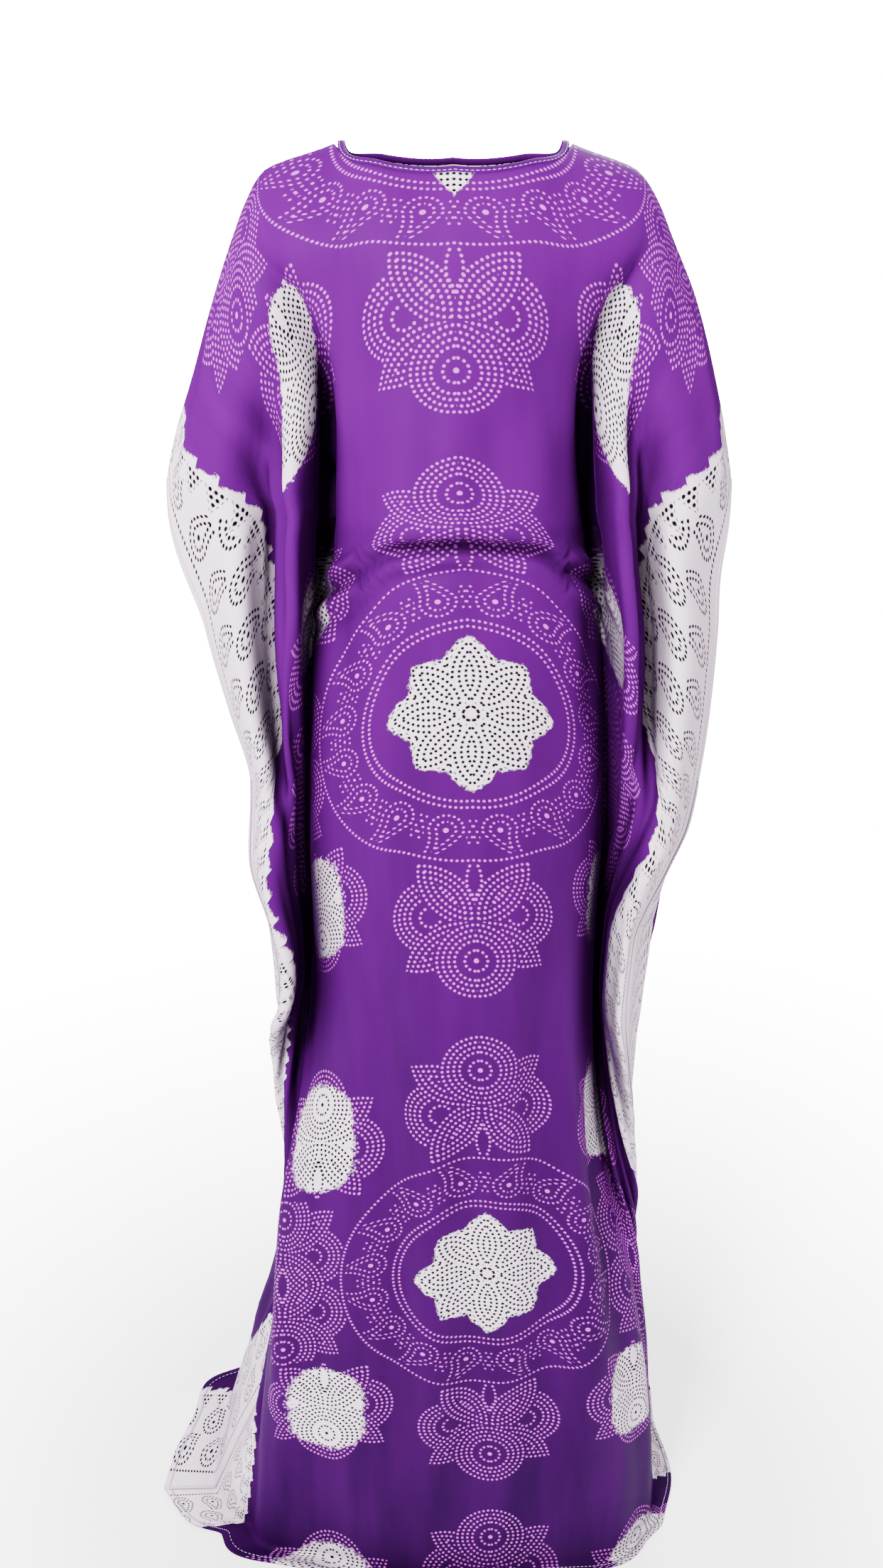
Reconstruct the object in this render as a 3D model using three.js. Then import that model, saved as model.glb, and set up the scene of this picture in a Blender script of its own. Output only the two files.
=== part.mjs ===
// A loose baati dress: one length of printed cloth folded over the shoulders, with a neck
// hole cut on the fold and its two selvedges sewn together below the arm openings.
// The cloth hangs as a worn, hollow form. Origin: the middle of the shoulder line, where
// the wearer holds it up. +Z is up, the front faces -Y, left is -X. Millimetres.
import * as THREE from "three";

// Driving dimensions of the cut
const CLOTH_HALF_WIDTH = 480;
const CLOTH_DROP = 1690;
const NECK_HALF_WIDTH = 97;
const NECK_FRONT_DROP = 76;
const NECK_BACK_DROP = 54;
const ARM_OPENING = 330;
const ARM_OPENING_GAPE = 13;
// Driving dimensions of the solids
const WALL = 1.6;
const SEAM_GAP = 0.3;
const FLOOR = -1500;
const FLOOR_REST = FLOOR + 3;
const SPILL_LEFT = 1;
const SPILL_RIGHT = 0.55;
const BINDING_WIDTH = 6;
const BINDING_THICKNESS = 2.4;

// Height of the cloth against its distance down from the shoulder fold, at the centre
// line and at the selvedge; every strand between them hangs between the two.
const STRANDS = table(["down", "centre", "selvedge"], [
  [0, 38, -270],
  [40, 12, -300],
  [72, -12, -325],
  [150, -72, -392],
  [250, -166, -484],
  [330, -240, -562],
  [395, -288, -618],
  [440, -306, -655],
  [475, -324, -684],
  [625, -456, -796],
  [775, -600, -900],
  [950, -775, -1030],
  [1100, -925, -1148],
  [1250, -1072, -1266],
  [1400, -1222, -1378],
  [1560, -1378, -1482],
  [1690, -1512, -1560],
]);

// Height of the shoulder fold along the cloth's width, from the centre line to the sleeve
// corner. It is bridged across the neck hole.
const SHOULDER = table(["across", "height"], [
  [0, 38],
  [60, 31],
  [97, 14],
  [150, -7],
  [200, -34],
  [250, -72],
  [300, -113],
  [350, -155],
  [400, -198],
  [440, -233],
  [480, -270],
]);

// The drape at each height along the middle: where the centre line stands, and how far
// the front and the back lie from the shoulder plane.
const MIDDLE = table(["height", "shift", "front", "back"], [
  [38, 0, 30, 30],
  [14, 0, 42, 36],
  [-12, 0, 58, 52],
  [-60, 0, 86, 80],
  [-110, 1, 97, 90],
  [-170, 2, 104, 94],
  [-240, 4, 106, 90],
  [-290, 7, 112, 92],
  [-312, 9, 90, 82],
  [-345, 11, 94, 86],
  [-400, 14, 100, 96],
  [-480, 17, 105, 110],
  [-600, 20, 107, 122],
  [-720, 24, 108, 134],
  [-880, 31, 110, 156],
  [-1020, 37, 112, 176],
  [-1160, 41, 114, 196],
  [-1300, 44, 115, 214],
  [-1420, 46, 117, 230],
  [-1500, 47, 122, 246],
]);

// The drape at each height on one side: "flank" is where the cloth leaves the body and
// the wing begins, "edge" is the fold, the arm opening or the side seam, "fold" is the
// depth of the wing's folds and "aim" turns them from straight out (0) to sideways (90).
// The same three for the back end in "back".
const SIDE_COLUMNS = [
  "height", "flankX", "flankY", "edgeX", "edgeY", "fold", "aim",
  "backFlankX", "backFlankY", "backFold",
];
const LEFT = table(SIDE_COLUMNS, [
  [38, 60, 0, 66, 0, 0, 0, 60, 0, 0],
  [14, 93, -2, 97, 0, 0, 0, 93, 2, 0],
  [-8, 146, -10, 160, 0, 0, 0, 146, 10, 0],
  [-30, 154, -16, 176, 0, 2, 0, 154, 16, 2],
  [-60, 152, -24, 190, 0, 8, 0, 154, 24, 8],
  [-110, 122, -36, 210, 0, 24, 0, 130, 32, 24],
  [-170, 104, -20, 231, 0, 42, 0, 114, 20, 38],
  [-240, 108, -9, 256, 0, 54, 0, 114, 9, 48],
  [-270, 111, -8, 262, 0, 57, 0, 117, 8, 50],
  [-286, 112, -8, 248, 0, 58, 0, 118, 8, 52],
  [-330, 118, -8, 244, 0, 60, 0, 122, 9, 52],
  [-400, 130, -8, 233, 0, 60, 0, 132, 12, 50],
  [-480, 138, -4, 216, 0, 60, 0, 142, 18, 44],
  [-560, 142, 4, 200, 0, 60, 0, 156, 28, 28],
  [-640, 146, 20, 205, -4, 64, 0, 184, 42, 6],
  [-720, 149, 44, 188, -2, 74, 0, 188, 50, 0],
  [-780, 150, 54, 182, 4, 76, 4, 190, 60, 0],
  [-850, 152, 36, 185, 26, 48, 28, 190, 78, 0],
  [-920, 160, 12, 180, 52, 30, 60, 188, 98, 0],
  [-990, 170, -16, 160, 70, 24, 82, 187, 112, 0],
  [-1060, 182, -34, 136, 80, 22, 90, 190, 118, 0],
  [-1160, 194, -34, 140, 86, 22, 90, 200, 124, 0],
  [-1300, 215, -34, 176, 72, 20, 90, 228, 120, 0],
  [-1400, 226, -44, 244, 24, 14, 60, 262, 90, 4],
  [-1500, 236, -60, 296, -6, 12, 30, 296, 60, 6],
]);
const RIGHT = table(SIDE_COLUMNS, [
  [38, 60, 0, 66, 0, 0, 0, 60, 0, 0],
  [14, 93, -2, 97, 0, 0, 0, 93, 2, 0],
  [-8, 144, -10, 156, 0, 0, 0, 144, 10, 0],
  [-30, 152, -16, 174, 0, 2, 0, 152, 16, 2],
  [-60, 152, -24, 189, 0, 8, 0, 154, 24, 8],
  [-110, 124, -36, 213, 0, 24, 0, 132, 32, 24],
  [-170, 107, -20, 233, 0, 42, 0, 116, 20, 38],
  [-240, 113, -9, 251, 0, 54, 0, 118, 9, 48],
  [-270, 118, -8, 256, 0, 57, 0, 122, 8, 50],
  [-286, 120, -8, 248, 0, 58, 0, 124, 8, 52],
  [-330, 127, -8, 246, 0, 60, 0, 130, 9, 52],
  [-400, 140, -8, 251, 0, 62, 0, 142, 12, 50],
  [-480, 147, -4, 250, 0, 62, 0, 150, 18, 46],
  [-560, 151, 6, 246, 0, 62, 0, 172, 32, 26],
  [-600, 153, 16, 238, -10, 62, 0, 196, 36, 10],
  [-640, 155, 28, 218, -26, 60, 0, 220, 30, 0],
  [-720, 156, 54, 186, -38, 58, 0, 218, 26, 0],
  [-800, 157, 64, 184, -34, 56, 0, 212, 36, 0],
  [-880, 159, 50, 192, -12, 46, 12, 208, 50, 0],
  [-960, 164, 26, 203, 16, 34, 34, 208, 74, 0],
  [-1040, 175, 2, 205, 44, 26, 62, 208, 98, 0],
  [-1110, 193, -18, 192, 70, 22, 82, 211, 116, 0],
  [-1180, 212, -32, 160, 88, 22, 90, 218, 128, 0],
  [-1300, 232, -34, 166, 98, 22, 90, 238, 136, 0],
  [-1400, 243, -36, 196, 98, 20, 90, 250, 142, 0],
  [-1500, 246, -44, 240, 84, 14, 80, 256, 140, 0],
]);

// Rise of the wing's folds from the flank (0) to the edge (1): two folds beside the arm,
// one fold above and below them.
const TWO_FOLDS = table(["at", "rise"], [
  [0, 0],
  [0.2, 1],
  [0.4, 0.3],
  [0.58, 0.9],
  [1, 0],
]);
const ONE_FOLD = table(["at", "rise"], [
  [0, 0],
  [0.45, 1],
  [1, 0],
]);
const FOLD_STATIONS = { one: [0, 0.22, 0.45, 0.7, 1], two: [0, 0.2, 0.4, 0.58, 1] };
const TWO_FOLDS_FROM = -130;
const TWO_FOLDS_FULL = -250;
const TWO_FOLDS_FADE = -470;
const TWO_FOLDS_END = -620;

// Soft hanging folds laid on the body of the cloth: "at" is the share of the way from the
// centre line to the flank, heights say where each starts and is full, depth is outward.
const SOFT_FOLDS = [
  { panel: "front", side: -1, at: 0.3, from: -760, full: -1250, depth: 5, width: 0.13 },
  { panel: "front", side: -1, at: 0.52, from: -820, full: -1300, depth: -6, width: 0.12 },
  { panel: "front", side: -1, at: 0.78, from: -900, full: -1350, depth: 7, width: 0.12 },
  { panel: "front", side: 1, at: 0.22, from: -880, full: -1300, depth: -5, width: 0.14 },
  { panel: "front", side: 1, at: 0.5, from: -820, full: -1300, depth: 7, width: 0.14 },
  { panel: "front", side: 1, at: 0.76, from: -860, full: -1300, depth: -7, width: 0.12 },
  { panel: "back", side: -1, at: 0.2, from: -300, full: -820, depth: 34, width: 0.085 },
  { panel: "back", side: -1, at: 0.47, from: -300, full: -760, depth: 40, width: 0.085 },
  { panel: "back", side: -1, at: 0.74, from: -300, full: -860, depth: 32, width: 0.085 },
  { panel: "back", side: 1, at: 0.11, from: -300, full: -880, depth: 30, width: 0.085 },
  { panel: "back", side: 1, at: 0.36, from: -300, full: -780, depth: 40, width: 0.085 },
  { panel: "back", side: 1, at: 0.66, from: -300, full: -820, depth: 38, width: 0.085 },
];

// The roll of the cloth over the shoulder
const ROLL_LENGTH = 25;
const ROLL_REACH = 520;
const ROLL_START = 25;
const ROLL_END = 160;

// Grid of one panel
const NECK_COLUMNS = 5;
const FLANK_WIDTH = 165;
const FLANK_COLUMNS = 2;
const WING_COLUMNS = [3, 3, 2, 4];
const LEVEL = -600;
const UPPER_ROWS = 22;
const UPPER_SPACING = table(["row", "share"], [
  [0, 0],
  [11, 0.445],
  [16, 0.575],
  [22, 1],
]);
const LOWER_ROWS = 26;
const HEM_ROWS = 2;
const SECTION_STEPS = 60;
const CLOTH = new THREE.MeshStandardMaterial({
  color: 0x5f1a9e,
  roughness: 0.75,
  metalness: 0,
  side: THREE.DoubleSide,
});
const BINDING_CLOTH = new THREE.MeshStandardMaterial({
  color: 0x6a22a8,
  roughness: 0.75,
  metalness: 0,
});

function table(columns, rows) {
  return { columns, rows };
}

function facingOf(panel) {
  return panel === "front" ? -1 : 1;
}

function mix(a, b, share) {
  return a + (b - a) * share;
}

function clamp(value, low, high) {
  return Math.min(Math.max(value, low), high);
}

function smooth(share) {
  const t = clamp(share, 0, 1);
  return t * t * (3 - 2 * t);
}

// One column of a table at a place along its first column, on a smooth curve through the
// rows that never overshoots them.
function read(source, column, place) {
  const rows = source.rows;
  const at = source.columns.indexOf(column);
  const rising = rows[rows.length - 1][0] > rows[0][0];
  const sign = rising ? 1 : -1;
  let i = 0;
  while (i < rows.length - 2 && (place - rows[i + 1][0]) * sign > 0) i += 1;
  const step = rows[i + 1][0] - rows[i][0];
  const share = clamp((place - rows[i][0]) / step, 0, 1);
  const slope = (k) => (rows[k + 1][at] - rows[k][at]) / (rows[k + 1][0] - rows[k][0]);
  const tangent = (k) => {
    if (k === 0) return slope(0);
    if (k === rows.length - 1) return slope(k - 1);
    const before = slope(k - 1);
    const after = slope(k);
    return before * after <= 0 ? 0 : (2 * before * after) / (before + after);
  };
  const s2 = share * share;
  const s3 = s2 * share;
  return (
    (2 * s3 - 3 * s2 + 1) * rows[i][at] +
    (s3 - 2 * s2 + share) * step * tangent(i) +
    (3 * s2 - 2 * s3) * rows[i + 1][at] +
    (s3 - s2) * step * tangent(i + 1)
  );
}

// How far out along the cloth the shoulder fold lies at a height.
function acrossAtShoulder(height) {
  let low = 0;
  let high = CLOTH_HALF_WIDTH;
  if (height <= read(SHOULDER, "height", high)) return high;
  for (let k = 0; k < 30; k += 1) {
    const middle = (low + high) / 2;
    if (read(SHOULDER, "height", middle) > height) low = middle;
    else high = middle;
  }
  return (low + high) / 2;
}

function heightOf(across, down) {
  const top = read(SHOULDER, "height", 0);
  const end = read(SHOULDER, "height", CLOTH_HALF_WIDTH);
  const share = (top - read(SHOULDER, "height", across)) / (top - end);
  return mix(read(STRANDS, "centre", down), read(STRANDS, "selvedge", down), share);
}

// Share of two folds against one in the wing at a height.
function twoFolds(height) {
  const coming = smooth((TWO_FOLDS_FROM - height) / (TWO_FOLDS_FROM - TWO_FOLDS_FULL));
  const going = smooth((TWO_FOLDS_FADE - height) / (TWO_FOLDS_FADE - TWO_FOLDS_END));
  return coming - going;
}

function wingRise(at, height) {
  const one = read(ONE_FOLD, "rise", at);
  const two = read(TWO_FOLDS, "rise", at);
  return mix(one, two, twoFolds(height));
}

function softFold(panel, side, at, height) {
  let sum = 0;
  for (const fold of SOFT_FOLDS) {
    if (fold.panel !== panel || fold.side !== side) continue;
    const strength = smooth((fold.from - height) / (fold.from - fold.full));
    const away = (at - fold.at) / fold.width;
    sum += fold.depth * strength * Math.exp(-away * away);
  }
  return sum;
}

// Gape of the arm opening at a height of the selvedge.
function gape(height) {
  const top = read(STRANDS, "selvedge", 0);
  const bottom = read(STRANDS, "selvedge", ARM_OPENING);
  const share = clamp((top - height) / (top - bottom), 0, 1);
  return ARM_OPENING_GAPE * Math.sin(Math.PI * share);
}

// The line of the cloth at one height, from the centre line to the edge, seen from above:
// points with the length walked so far, and where the body ends and the wing begins.
function sectionAt(panel, side, height) {
  const source = side < 0 ? LEFT : RIGHT;
  const front = panel === "front";
  const facing = front ? -1 : 1;
  const centreX = read(MIDDLE, "shift", height) * (front ? 1 : 0.3);
  const centreY = facing * read(MIDDLE, front ? "front" : "back", height);
  const flankX = side * read(source, front ? "flankX" : "backFlankX", height);
  const flankY = read(source, front ? "flankY" : "backFlankY", height);
  const edgeX = side * read(source, "edgeX", height);
  const edgeY = read(source, "edgeY", height) + facing * gape(height);
  const fold = read(source, front ? "fold" : "backFold", height);
  const aim = THREE.MathUtils.degToRad(read(source, "aim", height));
  const points = [];
  for (let i = 0; i <= SECTION_STEPS; i += 1) {
    const at = i / SECTION_STEPS;
    const turn = (at * Math.PI) / 2;
    const out = softFold(panel, side, at, height);
    points.push([
      mix(centreX, flankX, Math.sin(turn)) + side * Math.sin(turn) * out,
      mix(flankY, centreY, Math.cos(turn)) + facing * Math.cos(turn) * out,
    ]);
  }
  for (let i = 1; i <= SECTION_STEPS; i += 1) {
    const at = i / SECTION_STEPS;
    const rise = fold * wingRise(at, height);
    points.push([
      mix(flankX, edgeX, at) + side * rise * Math.sin(aim),
      mix(flankY, edgeY, at) + facing * rise * Math.cos(aim),
    ]);
  }
  for (let pass = 0; pass < 14; pass += 1) {
    for (let i = 1; i < points.length - 1; i += 1) {
      points[i][0] = (points[i - 1][0] + 2 * points[i][0] + points[i + 1][0]) / 4;
      points[i][1] = (points[i - 1][1] + 2 * points[i][1] + points[i + 1][1]) / 4;
    }
  }
  const walked = [0];
  for (let i = 1; i < points.length; i += 1) {
    const step = Math.hypot(points[i][0] - points[i - 1][0], points[i][1] - points[i - 1][1]);
    walked.push(walked[i - 1] + step);
  }
  return { points, walked, body: walked[SECTION_STEPS], end: walked[walked.length - 1] };
}

function pointAlong(section, length) {
  const { points, walked } = section;
  let i = 0;
  while (i < walked.length - 2 && walked[i + 1] < length) i += 1;
  const share = clamp((length - walked[i]) / (walked[i + 1] - walked[i]), 0, 1);
  return [mix(points[i][0], points[i + 1][0], share), mix(points[i][1], points[i + 1][1], share)];
}

// Where a point near the shoulder fold lies: the cloth rolls over the shoulder from the
// fold line, less and less deeply towards the sleeve.
function shoulderPoint(panel, across, down) {
  const side = across < 0 ? -1 : 1;
  const out = Math.abs(across);
  const fold = read(SHOULDER, "height", out);
  const foldX = read(side < 0 ? LEFT : RIGHT, "edgeX", fold);
  const depth = read(MIDDLE, panel, read(STRANDS, "centre", down));
  const roll = 1 - Math.exp(-down / ROLL_LENGTH);
  const fade = Math.cos((out / ROLL_REACH) * (Math.PI / 2));
  return new THREE.Vector3(
    side * (out < NECK_HALF_WIDTH ? out : foldX),
    facingOf(panel) * depth * roll * fade,
    heightOf(out, down),
  );
}

// Where a point of the flat cloth hangs. On the body the cloth keeps its true width; in
// the wing the rest of the width is shared along the folds.
function drape(panel, across, down) {
  const low = lowerPoint(panel, across, down);
  if (down >= ROLL_END) return low;
  const share = smooth((down - ROLL_START) / (ROLL_END - ROLL_START));
  return shoulderPoint(panel, across, down).lerp(low, share);
}

// Share of the body and of the wing in one section, on the flat cloth.
function bodyWidth(section, height) {
  return Math.min(section.body, (acrossAtShoulder(height) * section.body) / section.end);
}

function acrossAtLength(section, length, height) {
  const body = bodyWidth(section, height);
  if (length <= section.body) return (length * body) / section.body;
  const share = (length - section.body) / (section.end - section.body);
  return mix(body, acrossAtShoulder(height), share);
}

function lengthAtAcross(section, across, height) {
  const body = bodyWidth(section, height);
  if (across <= body) return (across * section.body) / body;
  const share = Math.min((across - body) / (acrossAtShoulder(height) - body), 1);
  return mix(section.body, section.end, share);
}

function lowerPoint(panel, across, down) {
  const side = across < 0 ? -1 : 1;
  const hung = heightOf(Math.abs(across), down);
  const height = Math.max(hung, FLOOR_REST);
  const section = sectionAt(panel, side, height);
  const [x, y] = pointAlong(section, lengthAtAcross(section, Math.abs(across), height));
  const loose = hung < FLOOR_REST ? FLOOR_REST - hung : 0;
  const spill = loose * (side < 0 ? SPILL_LEFT : SPILL_RIGHT);
  const away = Math.hypot(x, y);
  return new THREE.Vector3(x + (x / away) * spill, y + (y / away) * spill, height);
}

function neckDrop(panel, across) {
  const share = Math.min(Math.abs(across) / NECK_HALF_WIDTH, 1);
  const drop = panel === "front" ? NECK_FRONT_DROP : NECK_BACK_DROP;
  return drop * Math.sqrt(1 - share * share);
}

// Columns of one half of a panel on the flat cloth, from the centre line to the edge: the
// neck hole's width, the flank, then each flank of the wing's folds.
function flatColumns() {
  const places = [];
  for (let i = 0; i < NECK_COLUMNS; i += 1) {
    places.push(NECK_HALF_WIDTH * Math.sin((i * Math.PI) / (2 * NECK_COLUMNS)));
  }
  for (let i = 0; i < FLANK_COLUMNS; i += 1) {
    places.push(mix(NECK_HALF_WIDTH, FLANK_WIDTH, i / FLANK_COLUMNS));
  }
  const total = WING_COLUMNS.reduce((sum, count) => sum + count, 0);
  for (let i = 0; i <= total; i += 1) {
    places.push(mix(FLANK_WIDTH, CLOTH_HALF_WIDTH, i / total));
  }
  return places;
}

// Columns of one half of a panel at a height, kept on the folds of its section.
function foldColumns(panel, side, height) {
  const section = sectionAt(panel, side, height);
  const stations = FOLD_STATIONS.one.map((one, k) => {
    const at = mix(one, FOLD_STATIONS.two[k], twoFolds(height));
    const length = section.walked[SECTION_STEPS + Math.round(at * SECTION_STEPS)];
    return acrossAtLength(section, length, height);
  });
  const body = flatColumns().slice(0, NECK_COLUMNS + FLANK_COLUMNS);
  const columns = body.map((place) => (place * stations[0]) / FLANK_WIDTH);
  WING_COLUMNS.forEach((count, k) => {
    for (let i = 0; i < count; i += 1) {
      columns.push(mix(stations[k], stations[k + 1], i / count));
    }
  });
  columns.push(CLOTH_HALF_WIDTH);
  return columns;
}

// How far down the flat cloth a strand reaches a height.
function downAtHeight(across, height) {
  let low = 0;
  let high = CLOTH_DROP;
  for (let k = 0; k < 30; k += 1) {
    const middle = (low + high) / 2;
    if (heightOf(across, middle) > height) low = middle;
    else high = middle;
  }
  return (low + high) / 2;
}

// One point of a panel's grid. The first row is the neck edge and the shoulder fold, the
// rows below flatten until they are level, the last rows lie along the floor.
function gridPoint(panel, side, row, column) {
  const flat = flatColumns()[column];
  const share = row < UPPER_ROWS ? read(UPPER_SPACING, "share", row) : 1;
  const startOf = (across) => heightOf(across, neckDrop(panel, across));
  const levelOf = (across) => {
    if (row <= UPPER_ROWS) return mix(startOf(across), LEVEL, share);
    const below = Math.min((row - UPPER_ROWS) / LOWER_ROWS, 1);
    return mix(LEVEL, FLOOR_REST, below);
  };
  const followed = foldColumns(panel, side, levelOf(flat))[column];
  const across = mix(flat, followed, smooth(share * 2.5 - 0.3));
  let down = Math.max(downAtHeight(across, levelOf(across)), neckDrop(panel, across));
  const hemRow = row - UPPER_ROWS - LOWER_ROWS;
  if (hemRow > 0) down = mix(down, CLOTH_DROP, hemRow / HEM_ROWS);
  return drape(panel, side * across, down);
}

// Grid of a panel's middle surface: rows down the cloth, columns across it.
function panelGrid(panel) {
  const count = flatColumns().length;
  const grid = [];
  for (let row = 0; row <= UPPER_ROWS + LOWER_ROWS + HEM_ROWS; row += 1) {
    const points = [];
    for (let j = 1 - count; j < count; j += 1) {
      points.push(gridPoint(panel, j < 0 ? -1 : 1, row, Math.abs(j)));
    }
    grid.push(points);
  }
  return grid;
}

// Direction of travel through three points: the mean of the two unit steps, whatever
// their lengths, so that it halves a sharp crease.
function travel(before, here, after) {
  const coming = new THREE.Vector3().subVectors(here, before).normalize();
  const going = new THREE.Vector3().subVectors(after, here).normalize();
  return coming.add(going).multiplyScalar(0.5);
}

// Outward normal of a grid at one point, longer where the cloth is creased, so that the
// wall keeps its thickness on both sides of the crease.
function gridNormal(grid, i, j, facing) {
  const lastRow = grid.length - 1;
  const lastColumn = grid[0].length - 1;
  const here = grid[i][j];
  const down = travel(grid[Math.max(i - 1, 0)][j], here, grid[Math.min(i + 1, lastRow)][j]);
  const along = travel(grid[i][Math.max(j - 1, 0)], here, grid[i][Math.min(j + 1, lastColumn)]);
  const inside = j > 0 && j < lastColumn;
  const crease = inside ? 1 / Math.max(along.length(), 0.45) : 1;
  const normal = new THREE.Vector3().crossVectors(down, along).multiplyScalar(-facing);
  return normal.normalize().multiplyScalar(crease);
}

// Direction of the wall's thickness. On the shoulder fold and down the selvedges it is the
// same for front and back, so that their rims stand side by side.
function wallDirection(grid, i, j, facing) {
  const normal = gridNormal(grid, i, j, facing);
  const last = grid[0].length - 1;
  const point = grid[i][j];
  if (i > UPPER_ROWS + LOWER_ROWS) return new THREE.Vector3(0, 0, 1);
  if (j === 0 || j === last) return new THREE.Vector3(point.x, point.y, 0).normalize();
  if (i === 0 && Math.abs(point.x) >= NECK_HALF_WIDTH) return normal.setY(0).normalize();
  return normal;
}

// Moves the rims that meet the other panel half a seam gap to their own side.
function openSeams(grid, facing) {
  const last = grid[0].length - 1;
  for (const row of grid) {
    for (const point of [row[0], row[last]]) {
      const away = Math.hypot(point.x, point.y);
      const side = Math.sign(point.x);
      point.x -= (side * facing * point.y * SEAM_GAP) / (2 * away);
      point.y += (facing * Math.abs(point.x) * SEAM_GAP) / (2 * away);
    }
  }
  for (const point of grid[0]) {
    if (Math.abs(point.x) > NECK_HALF_WIDTH - 0.5) point.y = (facing * SEAM_GAP) / 2;
  }
}

// Closed wall round a grid: outer face, inner face and the rim between them.
function wallGeometry(grid, facing, thickness) {
  const rows = grid.length;
  const columns = grid[0].length;
  const positions = [];
  for (const half of [thickness / 2, -thickness / 2]) {
    for (let i = 0; i < rows; i += 1) {
      for (let j = 0; j < columns; j += 1) {
        const point = grid[i][j].clone().addScaledVector(wallDirection(grid, i, j, facing), half);
        positions.push(point.x, point.y, point.z);
      }
    }
  }
  const faces = [];
  const outer = (i, j) => i * columns + j;
  const inner = (i, j) => rows * columns + i * columns + j;
  const quad = (a, b, c, d) => {
    const order = facing < 0 ? [a, b, c, a, c, d] : [a, c, b, a, d, c];
    faces.push(...order);
  };
  for (let i = 0; i < rows - 1; i += 1) {
    for (let j = 0; j < columns - 1; j += 1) {
      quad(outer(i, j), outer(i + 1, j), outer(i + 1, j + 1), outer(i, j + 1));
      quad(inner(i, j), inner(i, j + 1), inner(i + 1, j + 1), inner(i + 1, j));
    }
  }
  for (let j = 0; j < columns - 1; j += 1) {
    quad(outer(0, j), outer(0, j + 1), inner(0, j + 1), inner(0, j));
    quad(outer(rows - 1, j), inner(rows - 1, j), inner(rows - 1, j + 1), outer(rows - 1, j + 1));
  }
  const end = columns - 1;
  for (let i = 0; i < rows - 1; i += 1) {
    quad(outer(i, 0), inner(i, 0), inner(i + 1, 0), outer(i + 1, 0));
    quad(outer(i, end), outer(i + 1, end), inner(i + 1, end), inner(i, end));
  }
  const geometry = new THREE.BufferGeometry();
  geometry.setAttribute("position", new THREE.Float32BufferAttribute(positions, 3));
  geometry.setIndex(faces);
  geometry.computeVertexNormals();
  return geometry;
}

function namedMesh(name, geometry, material) {
  const mesh = new THREE.Mesh(geometry, material);
  mesh.name = name;
  return mesh;
}

function makePanel(panel, grid) {
  return namedMesh(panel, wallGeometry(grid, facingOf(panel), WALL), CLOTH);
}

// Neck edge of a panel from its left end to its right end: each point with the direction
// its wall faces.
function neckEdge(grid, facing) {
  const edge = [];
  const centre = (grid[0].length - 1) / 2;
  for (let j = centre - NECK_COLUMNS; j <= centre + NECK_COLUMNS; j += 1) {
    edge.push({ point: grid[0][j], normal: wallDirection(grid, 0, j, facing) });
  }
  return edge;
}

// Narrow binding sewn on all round the neck hole. It is made from the panels' own neck
// points, moved in towards the hole by a seam gap and by its width.
function makeNeckBinding(front, back) {
  const frontEdge = neckEdge(front, -1);
  const backEdge = neckEdge(back, 1).reverse();
  const loop = [...frontEdge, ...backEdge.slice(1, -1)];
  const half = BINDING_THICKNESS / 2;
  const positions = [];
  for (let k = 0; k < loop.length; k += 1) {
    const { point, normal } = loop[k];
    const before = loop[(k + loop.length - 1) % loop.length].point;
    const after = loop[(k + 1) % loop.length].point;
    const along = new THREE.Vector3().subVectors(after, before).normalize();
    const inward = new THREE.Vector3().crossVectors(normal, along).normalize();
    const corners = [
      [SEAM_GAP, -half],
      [SEAM_GAP, half],
      [SEAM_GAP + BINDING_WIDTH, half],
      [SEAM_GAP + BINDING_WIDTH, -half],
    ];
    for (const [across, up] of corners) {
      const corner = point.clone().addScaledVector(inward, across).addScaledVector(normal, up);
      positions.push(corner.x, corner.y, corner.z);
    }
  }
  const faces = [];
  for (let k = 0; k < loop.length; k += 1) {
    const here = 4 * k;
    const next = 4 * ((k + 1) % loop.length);
    for (let c = 0; c < 4; c += 1) {
      const d = (c + 1) % 4;
      faces.push(here + c, next + d, here + d, here + c, next + c, next + d);
    }
  }
  const geometry = new THREE.BufferGeometry();
  geometry.setAttribute("position", new THREE.Float32BufferAttribute(positions, 3));
  geometry.setIndex(faces);
  geometry.computeVertexNormals();
  return namedMesh("neck_binding", geometry, BINDING_CLOTH);
}

const frontGrid = panelGrid("front");
const backGrid = panelGrid("back");
openSeams(frontGrid, -1);
openSeams(backGrid, 1);

const dress = new THREE.Group();
dress.name = "baati_dress";
dress.add(makePanel("front", frontGrid));
dress.add(makePanel("back", backGrid));
dress.add(makeNeckBinding(frontGrid, backGrid));

export default dress;
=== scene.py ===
import math

import bmesh
import bpy
import numpy as np
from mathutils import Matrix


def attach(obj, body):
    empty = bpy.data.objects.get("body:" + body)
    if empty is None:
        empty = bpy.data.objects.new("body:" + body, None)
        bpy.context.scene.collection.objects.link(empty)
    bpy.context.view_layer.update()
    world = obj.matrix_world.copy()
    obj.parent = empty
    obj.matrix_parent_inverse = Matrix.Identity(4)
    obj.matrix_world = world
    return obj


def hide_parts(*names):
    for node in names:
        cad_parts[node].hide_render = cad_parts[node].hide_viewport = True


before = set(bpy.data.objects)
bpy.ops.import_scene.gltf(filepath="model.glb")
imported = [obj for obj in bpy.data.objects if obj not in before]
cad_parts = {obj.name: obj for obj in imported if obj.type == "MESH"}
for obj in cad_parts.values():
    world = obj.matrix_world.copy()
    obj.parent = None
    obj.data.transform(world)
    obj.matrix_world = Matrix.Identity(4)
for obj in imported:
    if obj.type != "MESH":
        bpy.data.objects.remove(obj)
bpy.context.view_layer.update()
bpy.ops.object.select_all(action="DESELECT")


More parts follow.
